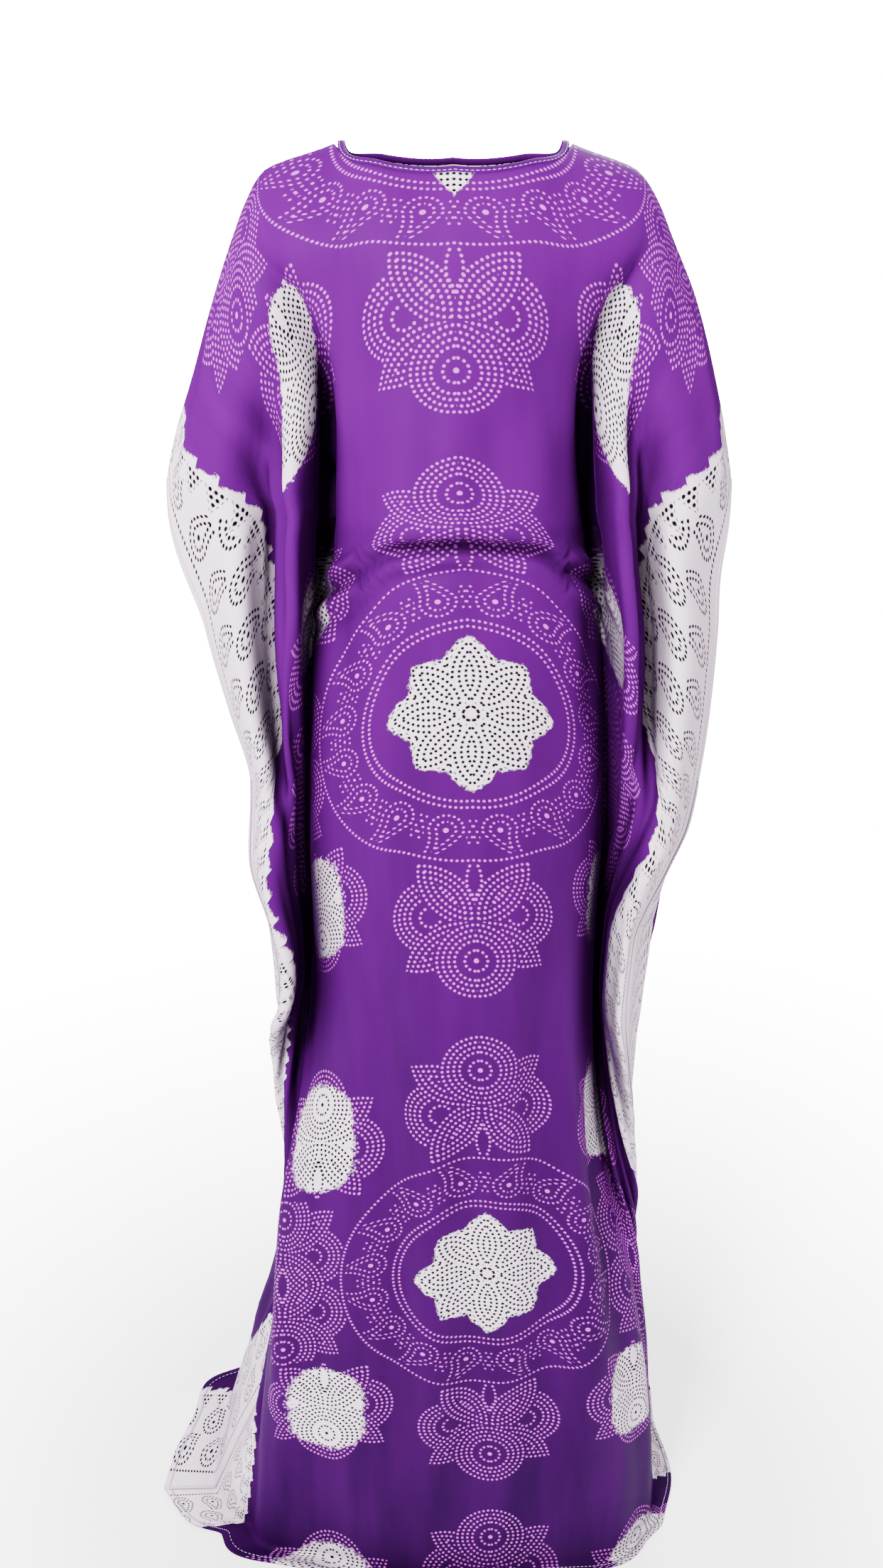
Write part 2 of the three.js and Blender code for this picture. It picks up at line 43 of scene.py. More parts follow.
# --- Printed cloth ---------------------------------------------------------------------
# One length of thin printed viscose, 0.96 m wide, folded over the shoulders so that it
# makes the front and the back. A neck hole is cut on the fold. It hangs from the
# shoulders, blouses over the waist, and its wings fall in folds at the sides.
CLOTH_HALF_WIDTH = 480
CLOTH_DROP = 1690
CLOTH_THICKNESS = 0.7
NECK_HALF_WIDTH = 97
NECK_FRONT_DROP = 76
NECK_BACK_DROP = 54
ARM_OPENING = 330
ARM_OPENING_GAPE = 13
FLOOR = -1500
FLOOR_REST = FLOOR + 3
SPILL = {-1: 1, 1: 0.55}
CLOTH_COLUMNS = 114
CLOTH_ROWS = 200


def table(columns, rows):
    return {"columns": columns, "rows": np.array(rows, float)}


# Height of the cloth against its distance down from the shoulder fold, at the centre
# line and at the selvedge.
STRANDS = table(["down", "centre", "selvedge"], [
    [0, 38, -270],
    [40, 12, -300],
    [72, -12, -325],
    [150, -72, -392],
    [250, -164, -484],
    [330, -230, -562],
    [395, -278, -618],
    [440, -303, -655],
    [475, -327, -684],
    [625, -456, -796],
    [775, -600, -900],
    [950, -775, -1030],
    [1100, -925, -1148],
    [1250, -1072, -1266],
    [1400, -1222, -1378],
    [1560, -1378, -1482],
    [1690, -1512, -1560],
])

# Height of the shoulder fold along the cloth's width, bridged across the neck hole.
SHOULDER = table(["across", "height"], [
    [0, 38],
    [60, 31],
    [97, 14],
    [150, -7],
    [200, -34],
    [250, -72],
    [300, -113],
    [350, -155],
    [400, -198],
    [440, -233],
    [480, -270],
])

# Where the centre line stands at each height, and how far the front and the back lie
# from the shoulder plane.
MIDDLE = table(["height", "shift", "front", "back"], [
    [38, 0, 30, 30],
    [14, 0, 42, 36],
    [-12, 0, 58, 52],
    [-60, 0, 86, 80],
    [-110, 1, 97, 90],
    [-170, 2, 104, 94],
    [-240, 4, 106, 90],
    [-290, 7, 107, 92],
    [-312, 9, 94, 82],
    [-345, 11, 95, 86],
    [-400, 14, 100, 96],
    [-480, 17, 105, 110],
    [-600, 20, 107, 122],
    [-720, 24, 108, 134],
    [-880, 31, 110, 156],
    [-1020, 37, 112, 176],
    [-1160, 41, 114, 196],
    [-1300, 44, 115, 214],
    [-1420, 46, 117, 230],
    [-1500, 47, 122, 246],
])

# Each side at each height: the flank, where the cloth leaves the body, the edge of the
# wing, and the depth and the turn of the wing's folds between them.
SIDE_COLUMNS = [
    "height", "flankX", "flankY", "edgeX", "edgeY", "fold", "aim",
    "backFlankX", "backFlankY", "backFold",
]
LEFT = table(SIDE_COLUMNS, [
    [38, 60, 0, 66, 0, 0, 0, 60, 0, 0],
    [14, 93, -2, 97, 0, 0, 0, 93, 2, 0],
    [-8, 146, -10, 160, 0, 0, 0, 146, 10, 0],
    [-30, 154, -16, 176, 0, 2, 0, 154, 16, 2],
    [-60, 152, -24, 190, 0, 8, 0, 154, 24, 8],
    [-110, 122, -36, 210, 0, 24, 0, 130, 32, 24],
    [-170, 104, -20, 231, 0, 42, 0, 114, 20, 38],
    [-240, 108, -9, 256, 0, 54, 0, 114, 9, 48],
    [-270, 111, -8, 262, 0, 57, 0, 117, 8, 50],
    [-286, 112, -8, 248, 0, 58, 0, 118, 8, 52],
    [-330, 118, -8, 244, 0, 60, 0, 122, 9, 52],
    [-400, 130, -8, 233, 0, 60, 0, 132, 12, 50],
    [-480, 138, -4, 216, 0, 60, 0, 142, 18, 44],
    [-560, 142, 4, 200, 0, 60, 0, 156, 28, 28],
    [-640, 146, 20, 205, -4, 64, 0, 184, 42, 6],
    [-720, 149, 44, 188, -2, 74, 0, 188, 50, 0],
    [-780, 150, 54, 182, 4, 76, 4, 190, 60, 0],
    [-850, 152, 36, 185, 26, 48, 28, 190, 78, 0],
    [-920, 160, 12, 180, 52, 30, 60, 188, 98, 0],
    [-990, 170, -16, 160, 70, 24, 82, 187, 112, 0],
    [-1060, 182, -34, 136, 80, 22, 90, 190, 118, 0],
    [-1160, 194, -34, 140, 86, 22, 90, 200, 124, 0],
    [-1300, 215, -34, 176, 72, 20, 90, 228, 120, 0],
    [-1400, 226, -44, 244, 24, 14, 60, 262, 90, 4],
    [-1500, 236, -60, 296, -6, 12, 30, 296, 60, 6],
])
RIGHT = table(SIDE_COLUMNS, [
    [38, 60, 0, 66, 0, 0, 0, 60, 0, 0],
    [14, 93, -2, 97, 0, 0, 0, 93, 2, 0],
    [-8, 144, -10, 156, 0, 0, 0, 144, 10, 0],
    [-30, 152, -16, 174, 0, 2, 0, 152, 16, 2],
    [-60, 152, -24, 189, 0, 8, 0, 154, 24, 8],
    [-110, 124, -36, 213, 0, 24, 0, 132, 32, 24],
    [-170, 107, -20, 233, 0, 42, 0, 116, 20, 38],
    [-240, 113, -9, 251, 0, 54, 0, 118, 9, 48],
    [-270, 118, -8, 256, 0, 57, 0, 122, 8, 50],
    [-286, 120, -8, 248, 0, 58, 0, 124, 8, 52],
    [-330, 127, -8, 246, 0, 60, 0, 130, 9, 52],
    [-400, 140, -8, 251, 0, 62, 0, 142, 12, 50],
    [-480, 147, -4, 250, 0, 62, 0, 150, 18, 46],
    [-560, 151, 6, 246, 0, 62, 0, 172, 32, 26],
    [-600, 153, 16, 238, -10, 62, 0, 196, 36, 10],
    [-640, 155, 28, 218, -26, 60, 0, 220, 30, 0],
    [-720, 156, 54, 186, -38, 58, 0, 218, 26, 0],
    [-800, 157, 64, 184, -34, 56, 0, 212, 36, 0],
    [-880, 159, 50, 192, -12, 46, 12, 208, 50, 0],
    [-960, 164, 26, 203, 16, 34, 34, 208, 74, 0],
    [-1040, 175, 2, 205, 44, 26, 62, 208, 98, 0],
    [-1110, 193, -18, 192, 70, 22, 82, 211, 116, 0],
    [-1180, 212, -32, 160, 88, 22, 90, 218, 128, 0],
    [-1300, 232, -34, 166, 98, 22, 90, 238, 136, 0],
    [-1400, 243, -36, 196, 98, 20, 90, 250, 142, 0],
    [-1500, 246, -44, 240, 84, 14, 80, 256, 140, 0],
])

# Rise of the wing's folds from the flank to the edge: two folds beside the arm, one
# above and below them.
TWO_FOLDS = table(["at", "rise"], [
    [0, 0],
    [0.2, 1],
    [0.4, 0.3],
    [0.58, 0.9],
    [1, 0],
])
ONE_FOLD = table(["at", "rise"], [
    [0, 0],
    [0.45, 1],
    [1, 0],
])
TWO_FOLDS_FROM, TWO_FOLDS_FULL = -130, -250
TWO_FOLDS_FADE, TWO_FOLDS_END = -470, -620

# Hanging folds on the body of the cloth: at what share of the way from the centre line
# to the flank, where each starts and is full, how deep and how wide it is.
HANGING_FOLDS = table(["panel", "side", "at", "from", "full", "depth", "width"], [
    [-1, -1, 0.3, -760, -1250, 5, 0.13],
    [-1, -1, 0.52, -820, -1300, -6, 0.12],
    [-1, -1, 0.78, -900, -1350, 7, 0.12],
    [-1, 1, 0.22, -880, -1300, -5, 0.14],
    [-1, 1, 0.5, -820, -1300, 7, 0.14],
    [-1, 1, 0.76, -860, -1300, -7, 0.12],
    [1, -1, 0.2, -300, -820, 34, 0.085],
    [1, -1, 0.47, -300, -760, 40, 0.085],
    [1, -1, 0.74, -300, -860, 32, 0.085],
    [1, 1, 0.11, -300, -880, 30, 0.085],
    [1, 1, 0.36, -300, -780, 40, 0.085],
    [1, 1, 0.66, -300, -820, 38, 0.085],
])

# The roll of the cloth over the shoulder
ROLL_LENGTH = 25
ROLL_REACH = 520
ROLL_START = 25
ROLL_END = 160

# The ladder of sections: its highest rung and spacing, the steps along each, and how many
# times its corners are softened. Behind, the centre line stands less to one side.
SECTIONS_TOP = 40
SECTION_SPACING = 4
SECTION_STEPS = 60
SOFTENING = 14
SHIFT_BEHIND = 0.3

# How the wing's cloth lies in its folds: the cloth beside the body and the border down
# the selvedge lie nearly flat, on at most FLAT_SHARE of the wing's length, and the middle
# takes up the fullness.
NEAR_BODY = {"width": 60, "most": 0.25, "kept": 0.8}
BORDER_SIDE = {"width": 115, "most": 0.45, "kept": 0.95}
FLAT_SHARE = 0.72


def mix(a, b, share):
    return a + (b - a) * share


def smooth(share):
    t = np.clip(share, 0, 1)
    return t * t * (3 - 2 * t)


# One column of a table at places along its first column, on a smooth curve through the
# rows that never overshoots them.
def read(source, column, place):
    rows = source["rows"]
    if rows[-1, 0] < rows[0, 0]:
        rows = rows[::-1]
    x = rows[:, 0]
    y = rows[:, source["columns"].index(column)]
    slope = np.diff(y) / np.diff(x)
    before, after = slope[:-1], slope[1:]
    turning = before * after > 0
    inner = np.where(turning, 2 * before * after / np.where(turning, before + after, 1), 0)
    tangent = np.concatenate([slope[:1], inner, slope[-1:]])
    i = np.clip(np.searchsorted(x, place) - 1, 0, len(x) - 2)
    step = x[i + 1] - x[i]
    t = np.clip((place - x[i]) / step, 0, 1)
    return (
        (2 * t**3 - 3 * t**2 + 1) * y[i]
        + (t**3 - 2 * t**2 + t) * step * tangent[i]
        + (3 * t**2 - 2 * t**3) * y[i + 1]
        + (t**3 - t**2) * step * tangent[i + 1]
    )


def height_of(across, down):
    top = read(SHOULDER, "height", 0)
    end = read(SHOULDER, "height", CLOTH_HALF_WIDTH)
    share = (top - read(SHOULDER, "height", across)) / (top - end)
    return mix(read(STRANDS, "centre", down), read(STRANDS, "selvedge", down), share)


# The line of the cloth seen from above, from the centre line to the edge, at a ladder of
# heights, with the length walked along it and the width of flat cloth that lies in it.
def sections(panel, side):
    height = np.arange(SECTIONS_TOP, FLOOR_REST - SECTION_SPACING, -SECTION_SPACING, float)[:, None]
    source = LEFT if side < 0 else RIGHT
    front = panel < 0
    centre_x = read(MIDDLE, "shift", height) * (1 if front else SHIFT_BEHIND)
    centre_y = panel * read(MIDDLE, "front" if front else "back", height)
    flank_x = side * read(source, "flankX" if front else "backFlankX", height)
    flank_y = read(source, "flankY" if front else "backFlankY", height)
    top, bottom = read(STRANDS, "selvedge", np.array([0, ARM_OPENING]))
    gape = ARM_OPENING_GAPE * np.sin(np.pi * np.clip((top - height) / (top - bottom), 0, 1))
    edge_x = side * read(source, "edgeX", height)
    edge_y = read(source, "edgeY", height) + panel * gape
    fold = read(source, "fold" if front else "backFold", height)
    aim = np.radians(read(source, "aim", height))
    at = np.arange(SECTION_STEPS + 1)[None, :] / SECTION_STEPS
    out = 0
    for p, s, place, start, full, depth, width in HANGING_FOLDS["rows"]:
        if p == panel and s == side:
            strength = smooth((start - height) / (start - full))
            out = out + depth * strength * np.exp(-(((at - place) / width) ** 2))
    sin, cos = np.sin(at * np.pi / 2), np.cos(at * np.pi / 2)
    body_x = mix(centre_x, flank_x, sin) + side * sin * out
    body_y = mix(flank_y, centre_y, cos) + panel * cos * out
    at = at[:, 1:]
    two = smooth((TWO_FOLDS_FROM - height) / (TWO_FOLDS_FROM - TWO_FOLDS_FULL))
    two = two - smooth((TWO_FOLDS_FADE - height) / (TWO_FOLDS_FADE - TWO_FOLDS_END))
    rise = fold * mix(read(ONE_FOLD, "rise", at), read(TWO_FOLDS, "rise", at), two)
    wing_x = mix(flank_x, edge_x, at) + side * rise * np.sin(aim)
    wing_y = mix(flank_y, edge_y, at) + panel * rise * np.cos(aim)
    line = np.stack([np.hstack([body_x, wing_x]), np.hstack([body_y, wing_y])], axis=2)
    for _ in range(SOFTENING):
        line[:, 1:-1] = (line[:, :-2] + 2 * line[:, 1:-1] + line[:, 2:]) / 4
    steps = np.linalg.norm(np.diff(line, axis=1), axis=2)
    walked = np.hstack([np.zeros((len(height), 1)), np.cumsum(steps, axis=1)])
    places = np.linspace(0, CLOTH_HALF_WIDTH, 2 * CLOTH_HALF_WIDTH + 1)
    drops = read(SHOULDER, "height", places)
    width = np.interp(-height[:, 0], -drops, places)
    body = walked[:, SECTION_STEPS]
    body_width = np.minimum(body, width * body / walked[:, -1])
    return {
        "top": height[0, 0],
        "line": line,
        "walked": walked,
        "body": body,
        "width": width,
        "body_width": body_width,
    }


SECTIONS = {(p, s): sections(p, s) for p in (-1, 1) for s in (-1, 1)}


# Length walked in the wing for a width of flat cloth in it, where the whole wing has so
# much flat width and so much length.
def wing_length(flat, width, length):
    near = np.minimum(NEAR_BODY["width"], NEAR_BODY["most"] * width)
    far = np.minimum(BORDER_SIDE["width"], BORDER_SIDE["most"] * width)
    near_length, far_length = near * NEAR_BODY["kept"], far * BORDER_SIDE["kept"]
    room = FLAT_SHARE * length / (near_length + far_length)
    near_length, far_length = (n * np.minimum(room, 1) for n in (near_length, far_length))
    middle = (flat - near) / np.maximum(width - near - far, 1e-6)
    end = (flat - width + far) / np.maximum(far, 1e-6)
    return np.where(
        flat < near,
        near_length * flat / np.maximum(near, 1e-6),
        np.where(
            flat < width - far,
            mix(near_length, length - far_length, middle),
            mix(length - far_length, length, end),
        ),
    )


# Points of one section, by its number on the ladder, at widths of flat cloth.
def on_section(section, rung, across):
    body, width = section["body"][rung], section["width"][rung]
    body_width = section["body_width"][rung]
    walked, line = section["walked"][rung], section["line"][rung]
    wing = np.maximum(width - body_width, 1e-6)
    in_wing = np.clip(across - body_width, 0, wing)
    length = np.where(
        across <= body_width,
        across * body / body_width,
        body + wing_length(in_wing, wing, walked[:, -1] - body),
    )
    place = np.clip((walked < length[:, None]).sum(axis=1) - 1, 0, walked.shape[1] - 2)
    row = np.arange(len(rung))
    start, end = walked[row, place], walked[row, place + 1]
    share = np.clip((length - start) / np.maximum(end - start, 1e-9), 0, 1)[:, None]
    return mix(line[row, place], line[row, place + 1], share)


# Where points of the flat cloth hang. Panel is -1 for the front and 1 for the back.
def drape(panel, across, down):
    across, down = (np.asarray(a, float).ravel() for a in np.broadcast_arrays(across, down))
    out = np.abs(across)
    side = np.where(across < 0, -1, 1)
    hung = height_of(out, down)
    height = np.maximum(hung, FLOOR_REST)
    low = np.zeros((len(out), 3))
    for s in (-1, 1):
        chosen = np.flatnonzero(side == s)
        section = SECTIONS[(panel, s)]
        rung = (section["top"] - height[chosen]) / SECTION_SPACING
        first = np.clip(rung.astype(int), 0, len(section["body"]) - 2)
        upper = on_section(section, first, out[chosen])
        lower = on_section(section, first + 1, out[chosen])
        plan = mix(upper, lower, (rung - first)[:, None])
        away = np.linalg.norm(plan, axis=1)
        loose = np.maximum(FLOOR_REST - hung[chosen], 0) * SPILL[s]
        low[chosen, :2] = plan * (1 + loose / away)[:, None]
    low[:, 2] = height
    fold = read(SHOULDER, "height", out)
    fold_x = np.where(side < 0, read(LEFT, "edgeX", fold), read(RIGHT, "edgeX", fold))
    depth = read(MIDDLE, "front" if panel < 0 else "back", read(STRANDS, "centre", down))
    roll = (1 - np.exp(-down / ROLL_LENGTH)) * np.cos(out / ROLL_REACH * np.pi / 2)
    high = np.stack([
        side * np.where(out < NECK_HALF_WIDTH, out, fold_x),
        panel * depth * roll,
        hung,
    ], axis=1)
    share = smooth((down - ROLL_START) / (ROLL_END - ROLL_START))[:, None]
    return mix(high, low, share)


def neck_drop(panel, across):
    share = np.minimum(np.abs(across) / NECK_HALF_WIDTH, 1)
    drop = NECK_FRONT_DROP if panel < 0 else NECK_BACK_DROP
    return drop * np.sqrt(1 - share**2)


# Small creases: on which panel, from where to where on the flat cloth, how wide, and how
# far out (or in, where negative) each one stands.
CREASES = table(["panel", "across", "down", "to_across", "to_down", "width", "depth"], [
    # drag lines from the shoulders to the bust and the underarm
    [-1, -150, 60, -95, 330, 17, 4.5],
    [-1, -120, 70, -60, 300, 14, -3],
    [-1, 150, 60, 100, 330, 17, 4.5],
    [-1, 115, 80, 62, 310, 14, -2.2],
    [-1, -60, 250, -40, 400, 16, 4.5],
    [-1, 30, 270, 22, 400, 15, -4.5],
    [-1, 75, 260, 70, 400, 16, 4.5],
    [-1, -10, 300, -8, 405, 13, 2.4],
    # the lip over the waist tie, the crease under it and the shadow line below
    [-1, -245, 428, 240, 420, 12, 6],
    [-1, -235, 451, 235, 442, 10, -6],
    [-1, -210, 471, 60, 461, 9, 5],
    [-1, 20, 465, 200, 474, 9, 4],
    [-1, -200, 489, 40, 479, 9, -3.5],
    # the deep hollows between the body and the wings above the waist
    [-1, -156, 175, -160, 470, 13, -20],
    [-1, 158, 175, 163, 470, 13, -20],
    # the step between the sleeve's corner and the wing in front of it
    [-1, -240, 46, -455, 62, 17, 5],
    [-1, 240, 46, 455, 62, 17, 5],
    # hollows and ridges falling from the waist to the hem
    [-1, -128, 440, -120, 620, 15, -5],
    [-1, 132, 440, 128, 640, 15, -5],
    [-1, -96, 760, -104, 1560, 26, -10],
    [-1, -62, 700, -58, 1600, 22, 7],
    [-1, -18, 940, -22, 1640, 24, -7],
    [-1, 62, 820, 66, 1580, 26, -9],
    [-1, 102, 760, 112, 1620, 24, 8],
    [-1, 150, 1000, 160, 1500, 22, -6],
    [-1, -170, 1240, -176, 1640, 20, 5],
    # creases across the cloth where the skirt has been folded
    [-1, -110, 800, 130, 812, 9, -1.1],
    [-1, -120, 1150, 120, 1140, 9, 1],
    # the front wings
    [-1, -235, 150, -245, 620, 16, 5],
    [-1, -330, 120, -345, 560, 18, -5],
    [-1, -395, 330, -400, 900, 18, 6],
    [-1, -300, 620, -290, 1150, 20, -6],
    [-1, -250, 980, -255, 1500, 20, 6],
    [-1, 240, 150, 250, 620, 16, 5],
    [-1, 335, 110, 340, 540, 18, -5],
    [-1, 400, 330, 395, 850, 18, 6],
    [-1, 300, 600, 295, 1120, 20, -6],
    [-1, 250, 960, 262, 1500, 20, 6],
    [-1, 420, 900, 410, 1300, 18, -5],
    [-1, -420, 960, -410, 1350, 18, 5],
    # the back
    [1, -140, 60, -70, 340, 18, 4],
    [1, 140, 60, 76, 340, 18, 4],
    [1, 0, 120, 0, 380, 26, -5],
    [1, -60, 200, -52, 430, 15, 3],
    [1, 62, 210, 58, 430, 15, 3],
    [1, -120, 408, -20, 424, 12, 5],
    [1, 0, 430, 130, 412, 12, 5],
    [1, -240, 150, -245, 620, 16, 5],
    [1, 240, 150, 248, 620, 16, 5],
    [1, -340, 120, -345, 560, 18, -5],
    [1, 335, 120, 345, 560, 18, -5],
    [1, -400, 400, -390, 900, 18, 6],
    [1, 400, 400, 392, 900, 18, 6],
    [1, -300, 640, -296, 1200, 20, -6],
    [1, 305, 640, 300, 1200, 20, -6],
    [1, -250, 1000, -256, 1560, 20, 6],
    [1, 254, 1000, 258, 1560, 20, 6],
])


# The fullness of the wings: soft upright folds in their middle, where the cloth is
# gathered between the body and the border. They nearly die out where the waist holds them.
FULLNESS = {
    "from": 215, "to": 385, "side_fade": 45,
    "start": 90, "start_fade": 120, "end": 1560, "end_fade": 90,
    "width": 58, "depth": 5,
    "waist": 435, "waist_reach": 50, "waist_loss": 0.8,
}


def fullness(panel, across, down):
    out = np.abs(across)
    window = smooth((out - FULLNESS["from"]) / FULLNESS["side_fade"])
    window = window * smooth((FULLNESS["to"] - out) / FULLNESS["side_fade"])
    window = window * smooth((down - FULLNESS["start"]) / FULLNESS["start_fade"])
    window = window * smooth((FULLNESS["end"] - down) / FULLNESS["end_fade"])
    from_waist = (down - FULLNESS["waist"]) / FULLNESS["waist_reach"]
    window = window * (1 - FULLNESS["waist_loss"] * np.exp(-(from_waist**2)))
    wander = 9 * np.sin(down / 151 + across / 300) + 5 * np.sin(down / 67 + panel)
    uneven = 0.75 + 0.25 * np.sin(down / 173 + across / 90 + panel)
    wave = np.sin((out + wander) * 2 * np.pi / FULLNESS["width"])
    return FULLNESS["depth"] * window * uneven * wave


# How far the creases push each point of the flat cloth out: full along the line of the
# crease and fading softly beside it and at its ends.
def crease(panel, across, down):
    total = fullness(panel, across, down)
    for p, u0, v0, u1, v1, width, depth in CREASES["rows"]:
        if p != panel:
            continue
        length = math.hypot(u1 - u0, v1 - v0)
        cu, cv = (u1 - u0) / length, (v1 - v0) / length
        along = (across - u0) * cu + (down - v0) * cv
        beside = -(across - u0) * cv + (down - v0) * cu
        beside = beside + 0.12 * width * np.sin(along / (2.3 * width))
        ends = smooth(along / (0.3 * length)) * smooth((length - along) / (0.3 * length))
        total = total + depth * ends * np.exp(-((beside / width) ** 2))
    return total


# Unit normals of a grid of points, outward for that panel.
def grid_normals(points, panel):
    down = np.gradient(points, axis=0)
    along = np.gradient(points, axis=1)
    normal = -panel * np.cross(down, along)
    return normal / np.maximum(np.linalg.norm(normal, axis=2, keepdims=True), 1e-9)


# Over how much cloth the creases fade out: below the fold and above the floor, and beside
# the selvedge.
CREASE_START = 8
CREASE_FADE = 60
SELVEDGE_FADE = 30


# Grid of a panel: flat places and hanging points with their normals, creases included.
def panel_grid(panel, across, down):
    points = drape(panel, across, down).reshape(*across.shape, 3)
    normal = grid_normals(points, panel)
    free = smooth((down - CREASE_START) / CREASE_FADE)
    free = free * smooth((CLOTH_HALF_WIDTH - np.abs(across)) / SELVEDGE_FADE)
    free = free * smooth((points[..., 2] - FLOOR_REST) / CREASE_FADE)
    points = points + normal * (crease(panel, across, down) * free)[..., None]
    points[..., 2] = np.maximum(points[..., 2], FLOOR_REST)
    return points, grid_normals(points, panel)


# Share of the rows used up at each distance down the cloth: they stand closer over the
# shoulder and the waist.
ROW_SHARES = table(["down", "share"], [
    [0, 0],
    [60, 0.055],
    [390, 0.215],
    [480, 0.335],
    [1690, 1],
])


def whole_panel(panel):
    across = np.linspace(-CLOTH_HALF_WIDTH, CLOTH_HALF_WIDTH, CLOTH_COLUMNS + 1)[None, :]
    places = np.arange(CLOTH_DROP + 1)
    shares = read(ROW_SHARES, "share", places)
    down = np.interp(np.linspace(0, 1, CLOTH_ROWS + 1), shares, places)[:, None]
    start = neck_drop(panel, across)
    down = start + down * (CLOTH_DROP - start) / CLOTH_DROP
    across = np.broadcast_to(across, down.shape)
    points, normal = panel_grid(panel, across, down)
    return across, down, points, normal


# A mesh object from sheets of points in millimetres, with the flat place of each point
# kept, in metres, in a UV map of the name "cloth".
def sheet_object(name, sheets):
    mesh = bpy.data.meshes.new(name)
    piece = bpy.data.objects.new(name, mesh)
    bpy.context.scene.collection.objects.link(piece)
    made = bmesh.new()
    flat = made.loops.layers.uv.new("cloth")
    for points, u, v, facing in sheets:
        rows, columns = u.shape
        vertices = [made.verts.new(p) for p in (points / 1000).reshape(-1, 3).tolist()]
        places = np.stack([u / 1000, v / 1000], axis=2).reshape(-1, 2).tolist()
        for i in range(rows - 1):
            for j in range(columns - 1):
                a, b = i * columns + j, (i + 1) * columns + j
                corners = [a, b, b + 1, a + 1]
                if facing > 0:
                    corners.reverse()
                face = made.faces.new([vertices[c] for c in corners])
                face.smooth = True
                for loop, corner in zip(face.loops, corners):
                    loop[flat].uv = places[corner]
    bmesh.ops.remove_doubles(made, verts=made.verts, dist=0.00005)
    made.to_mesh(mesh)
    made.free()
    return piece


# Gives a sheet its thickness and applies it.
def thicken(piece, thickness):
    bpy.ops.object.select_all(action="DESELECT")
    bpy.context.view_layer.objects.active = piece
    piece.select_set(True)
    solidify = piece.modifiers.new("thickness", "SOLIDIFY")
    solidify.thickness = thickness / 1000
    solidify.offset = 0
    bpy.ops.object.modifier_apply(modifier=solidify.name)
    piece.select_set(False)


panels = {panel: whole_panel(panel) for panel in (-1, 1)}
cloth = sheet_object("printed_cloth", [
    (points, across, -panel * down, panel)
    for panel, (across, down, points, normal) in panels.items()
])
thicken(cloth, CLOTH_THICKNESS)


# An sRGB hex colour as the linear colour that a shader takes.
def colour(hex_value):
    parts = [int(hex_value[k : k + 2], 16) / 255 for k in (1, 3, 5)]
    return [p / 12.92 if p <= 0.04045 else ((p + 0.055) / 1.055) ** 2.4 for p in parts] + [1]


# Adds a node to the material being made, with its settings, and links or sets its inputs
# by their name or number. It gives back the output that is asked for.
def node(kind, inputs, out=0, **settings):
    made = tree.nodes.new("ShaderNode" + kind)
    for name, value in settings.items():
        setattr(made, name, value)
    for key, value in inputs.items() if isinstance(inputs, dict) else enumerate(inputs):
        if isinstance(value, Amount):
            tree.links.new(value.socket, made.inputs[key])
        else:
            made.inputs[key].default_value = value
    return Amount(made.outputs[out]) if made.outputs else None


# An amount that changes over the cloth, so that the sums of the print can be written as
# sums. Every sign adds one Math node.
class Amount:
    def __init__(self, socket):
        self.socket = socket

    def math(self, operation, *others):
        return node("Math", [self, *others], operation=operation)

    def __add__(self, other):
        return self.math("ADD", other)

    def __sub__(self, other):
        return self.math("SUBTRACT", other)

    def __rsub__(self, other):
        return node("Math", [other, self], operation="SUBTRACT")

    def __mul__(self, other):
        return self.math("MULTIPLY", other)

    def __truediv__(self, other):
        return self.math("DIVIDE", other)

    def __rtruediv__(self, other):
        return node("Math", [other, self], operation="DIVIDE")

    __radd__ = __add__
    __rmul__ = __mul__


def new_material(name, base):
    global tree
    material = bpy.data.materials.new(name)
    material.use_nodes = True
    tree = material.node_tree
    tree.nodes.clear()
    material.diffuse_color = colour(base)
    return material


# Distance of a point from the middle of its own frame
def away_from_middle(x, y):
    return (x * x + y * y).math("SQRT")


# The point (x, y) seen from a middle (mx, my) and turned by an angle in degrees.
def seen_from(x, y, mx, my, degrees=0):
    x, y = x - mx, y - my
    c, s = math.cos(math.radians(degrees)), math.sin(math.radians(degrees))
    return x * c + y * s, y * c - x * s


# 1 inside an edge and 0 outside, soft over a width, where the distance grows outward.
def within(distance, edge, soft=0.5):
    limits = {"Value": distance, "From Min": edge + soft, "From Max": edge - soft}
    return node("MapRange", limits)


# 1 where the first is greater than the second, and else 0, with no soft edge.
def at_least(a, b):
    return a.math("GREATER_THAN", b)


# The second amount where the mask is 1, and the first where it is 0.
def choose(mask, other, this):
    return node("Mix", {0: mask, 2: other, 3: this})


# How far in from the outline the nearest row of dots lies, with rows a pitch apart.
def nearest_row(inward, pitch, rows, first=0):
    row = (inward / pitch).math("ROUND").math("MAXIMUM", first)
    return row.math("MINIMUM", rows - 1) * pitch


# Round dots a pitch apart along a row, from the distance off the row and along it.
def dots(off, along, pitch, size):
    place = along / pitch
    beside = (place - place.math("ROUND")) * pitch
    return within(away_from_middle(off, beside), size)


# A closed circle of dots about a middle.
def dot_circle(away, angle, radius, pitch, size):
    count = round(2 * math.pi * radius / pitch)
    place = angle * (count / (2 * math.pi))
    beside = (place - place.math("ROUND")) * (2 * math.pi * radius / count)
    return within(away_from_middle(away - radius, beside), size)


# A pointed petal between two arcs: how far in from its outline, and how far along it.
# Its length lies along y. The angle and the radius are those of its arc.
def petal(x, y, half_length, half_width):
    radius = (half_length**2 + half_width**2) / (2 * half_width)
    x = x.math("ABSOLUTE") + (radius - half_width)
    return radius - away_from_middle(x, y), y.math("ARCTAN2", x), radius


